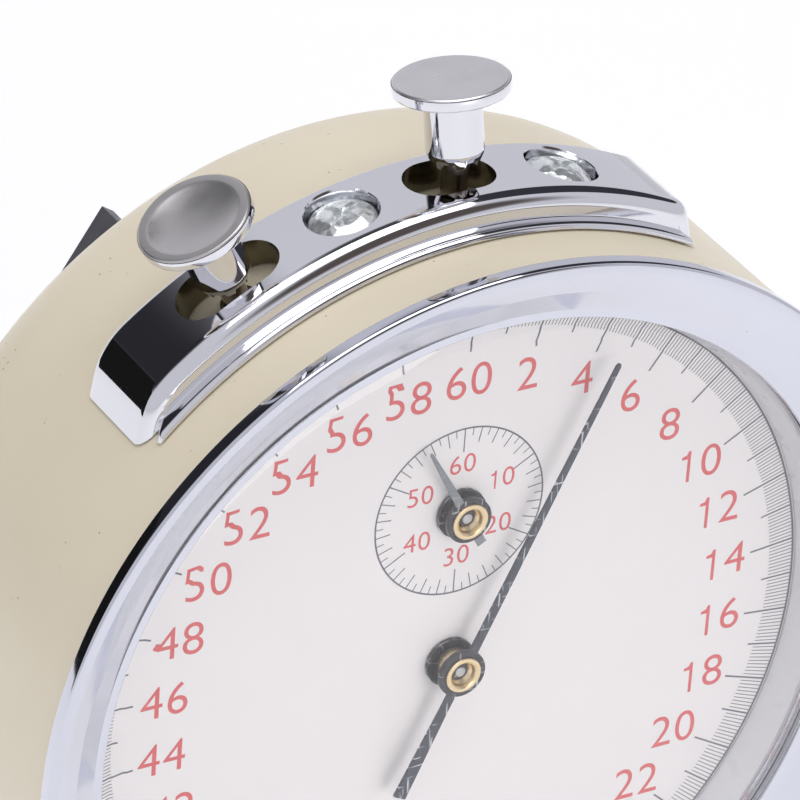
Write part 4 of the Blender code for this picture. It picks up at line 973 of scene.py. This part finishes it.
def make_floor():
    shape = bmesh.new()
    bmesh.ops.create_grid(shape, x_segments=1, y_segments=1, size=4.0)
    mesh = bpy.data.meshes.new("floor")
    shape.to_mesh(mesh)
    shape.free()
    floor = bpy.data.objects.new("floor", mesh)
    bpy.context.scene.collection.objects.link(floor)
    nodes = Nodes("pale_floor", (0.93, 0.93, 0.94), 0.7)
    nodes.color(nodes.mixed(nodes.noise(6.0), (0.925, 0.925, 0.94), (0.94, 0.94, 0.95)))
    nodes.shader.inputs["Emission Color"].default_value = (1.0, 1.0, 1.0, 1.0)
    nodes.shader.inputs["Emission Strength"].default_value = 0.2
    mesh.materials.append(nodes.material)


def make_card(name, centre, facing, width, height, level):
    """A card that is only seen in reflections."""
    shape = bmesh.new()
    bmesh.ops.create_grid(shape, x_segments=1, y_segments=1, size=0.5)
    mesh = bpy.data.meshes.new(name)
    shape.to_mesh(mesh)
    shape.free()
    mesh.transform(Matrix.Diagonal((width, height, 1.0, 1.0)))
    card = bpy.data.objects.new(name, mesh)
    bpy.context.scene.collection.objects.link(card)
    card.location = centre
    card.rotation_mode = "QUATERNION"
    card.rotation_quaternion = Vector(facing).to_track_quat("Z", "Y")
    nodes = Nodes(name, (0.0, 0.0, 0.0), 1.0)
    nodes.shader.inputs["Specular IOR Level"].default_value = 0.0
    nodes.shader.inputs["Emission Color"].default_value = (1.0, 1.0, 1.0, 1.0)
    nodes.shader.inputs["Emission Strength"].default_value = level
    mesh.materials.append(nodes.material)
    card.visible_camera = False
    card.visible_diffuse = False
    card.visible_shadow = False
    card.visible_transmission = False


def make_world():
    """A pale room that is darker behind on the left and towards the ceiling's back edge."""
    world = bpy.data.worlds.new("studio")
    bpy.context.scene.world = world
    world.use_nodes = True
    tree = world.node_tree
    background = tree.nodes["Background"]
    direction = tree.nodes.new("ShaderNodeTexCoord").outputs["Generated"]

    def facing(target, low, high):
        dot = tree.nodes.new("ShaderNodeVectorMath")
        dot.operation = "DOT_PRODUCT"
        tree.links.new(direction, dot.inputs[0])
        dot.inputs[1].default_value = Vector(target).normalized()
        span = tree.nodes.new("ShaderNodeMapRange")
        span.interpolation_type = "SMOOTHSTEP"
        span.inputs["From Min"].default_value = low
        span.inputs["From Max"].default_value = high
        tree.links.new(dot.outputs["Value"], span.inputs["Value"])
        return span.outputs["Result"]

    def mixed(factor, first, second):
        node = tree.nodes.new("ShaderNodeMix")
        node.data_type = "RGBA"
        tree.links.new(factor, node.inputs["Factor"])
        if isinstance(first, tuple):
            node.inputs[6].default_value = (*first, 1.0)
        else:
            tree.links.new(first, node.inputs[6])
        if isinstance(second, tuple):
            node.inputs[7].default_value = (*second, 1.0)
        else:
            tree.links.new(second, node.inputs[7])
        return node.outputs[2]

    room = mixed(facing((-0.56, 0.60, 0.52), 0.83, 0.97), (0.66, 0.66, 0.71), (0.025, 0.025, 0.03))
    room = mixed(facing((0.2, 0.42, 0.86), 0.92, 0.985), room, (0.06, 0.06, 0.07))
    room = mixed(facing((0.65, 0.30, 0.70), 0.885, 0.905), room, (0.04, 0.04, 0.05))
    room = mixed(facing((0.25, -0.75, 0.6), 0.86, 0.96), room, (0.10, 0.085, 0.08))
    seen = tree.nodes.new("ShaderNodeLightPath").outputs["Is Camera Ray"]
    tree.links.new(mixed(seen, room, (0.97, 0.97, 0.98)), background.inputs["Color"])
    background.inputs["Strength"].default_value = 1.0


def make_light(name, place, target, width, height, power, mirrored=True):
    lamp = bpy.data.lights.new(name, "AREA")
    lamp.shape = "RECTANGLE"
    lamp.size = width
    lamp.size_y = height
    lamp.energy = power
    light = bpy.data.objects.new(name, lamp)
    bpy.context.scene.collection.objects.link(light)
    light.location = place
    light.visible_glossy = mirrored
    light.rotation_mode = "QUATERNION"
    light.rotation_quaternion = (Vector(target) - Vector(place)).to_track_quat("-Z", "Y")


def make_studio():
    make_floor()
    make_world()
    make_card("dark_side_card", (-0.38, 0.32, 0.13), (0.66, -0.75, 0.0), 0.42, 0.26, 0.01)
    middle = (0.0, 0.0, 0.08)
    make_light("top_softbox", (0.0, -0.12, 1.3), middle, 1.15, 0.95, 7.5)
    make_light("front_softbox", (0.05, -1.25, 0.25), middle, 0.7, 0.5, 3.2, mirrored=False)
    make_light("back_softbox", (0.5, 1.1, 0.7), middle, 0.8, 0.6, 2.5, mirrored=False)


def make_camera():
    """Looks down at the dial's upper part from the left, from far away through a long lens."""
    lens = bpy.data.cameras.new("camera")
    lens.lens = 294.0
    lens.sensor_width = 36.0
    lens.clip_start = 0.05
    lens.clip_end = 20.0
    camera = bpy.data.objects.new("camera", lens)
    bpy.context.scene.collection.objects.link(camera)
    right = Vector(CAMERA_RIGHT).normalized()
    back = Vector(CAMERA_BACK).normalized()
    up = back.cross(right).normalized()
    right = up.cross(back)
    turn = Matrix((right, up, back)).transposed().to_4x4()
    place = Vector(CAMERA_PLACE)
    camera.matrix_world = Matrix.Translation(place) @ turn
    bpy.context.scene.camera = camera


make_case()
make_bezel()
make_crystal()
make_ring()
make_dial()
make_scales()
make_numerals()
make_bracket()
make_bracket_screw("left")
make_bracket_screw("right")
make_button("start", START_ANGLE, START_TOP, START_DISH, START_LEAN, CAP_LIGHT)
make_button("reset", RESET_ANGLE, RESET_TOP, RESET_DISH, UPRIGHT, CAP_GREY)
SECONDS_BLADE = blade_outline(SECONDS_ANGLE, 45.5, 18.6, 1.35, 0.75, 1.95)
MINUTE_BLADE = blade_outline(MINUTE_ANGLE, 12.8, 4.4, 1.25, 0.45, 1.3)
make_hand("seconds", (0.0, 0.0), SECONDS_BLADE, SECONDS_PLATE_Z, 3.3, HAND_STEEL)
# The minute hand carries painted sheen in its lighter grey steel.
make_hand("minute", MINUTE_CENTRE, MINUTE_BLADE, MINUTE_PLATE_Z, 3.15, MINUTE_STEEL_PAINTED_SHEEN)
make_back_cover()
keep_nodes()
make_studio()
make_camera()

scene = bpy.context.scene
scene.view_settings.view_transform = "Standard"
scene.view_settings.look = "None"
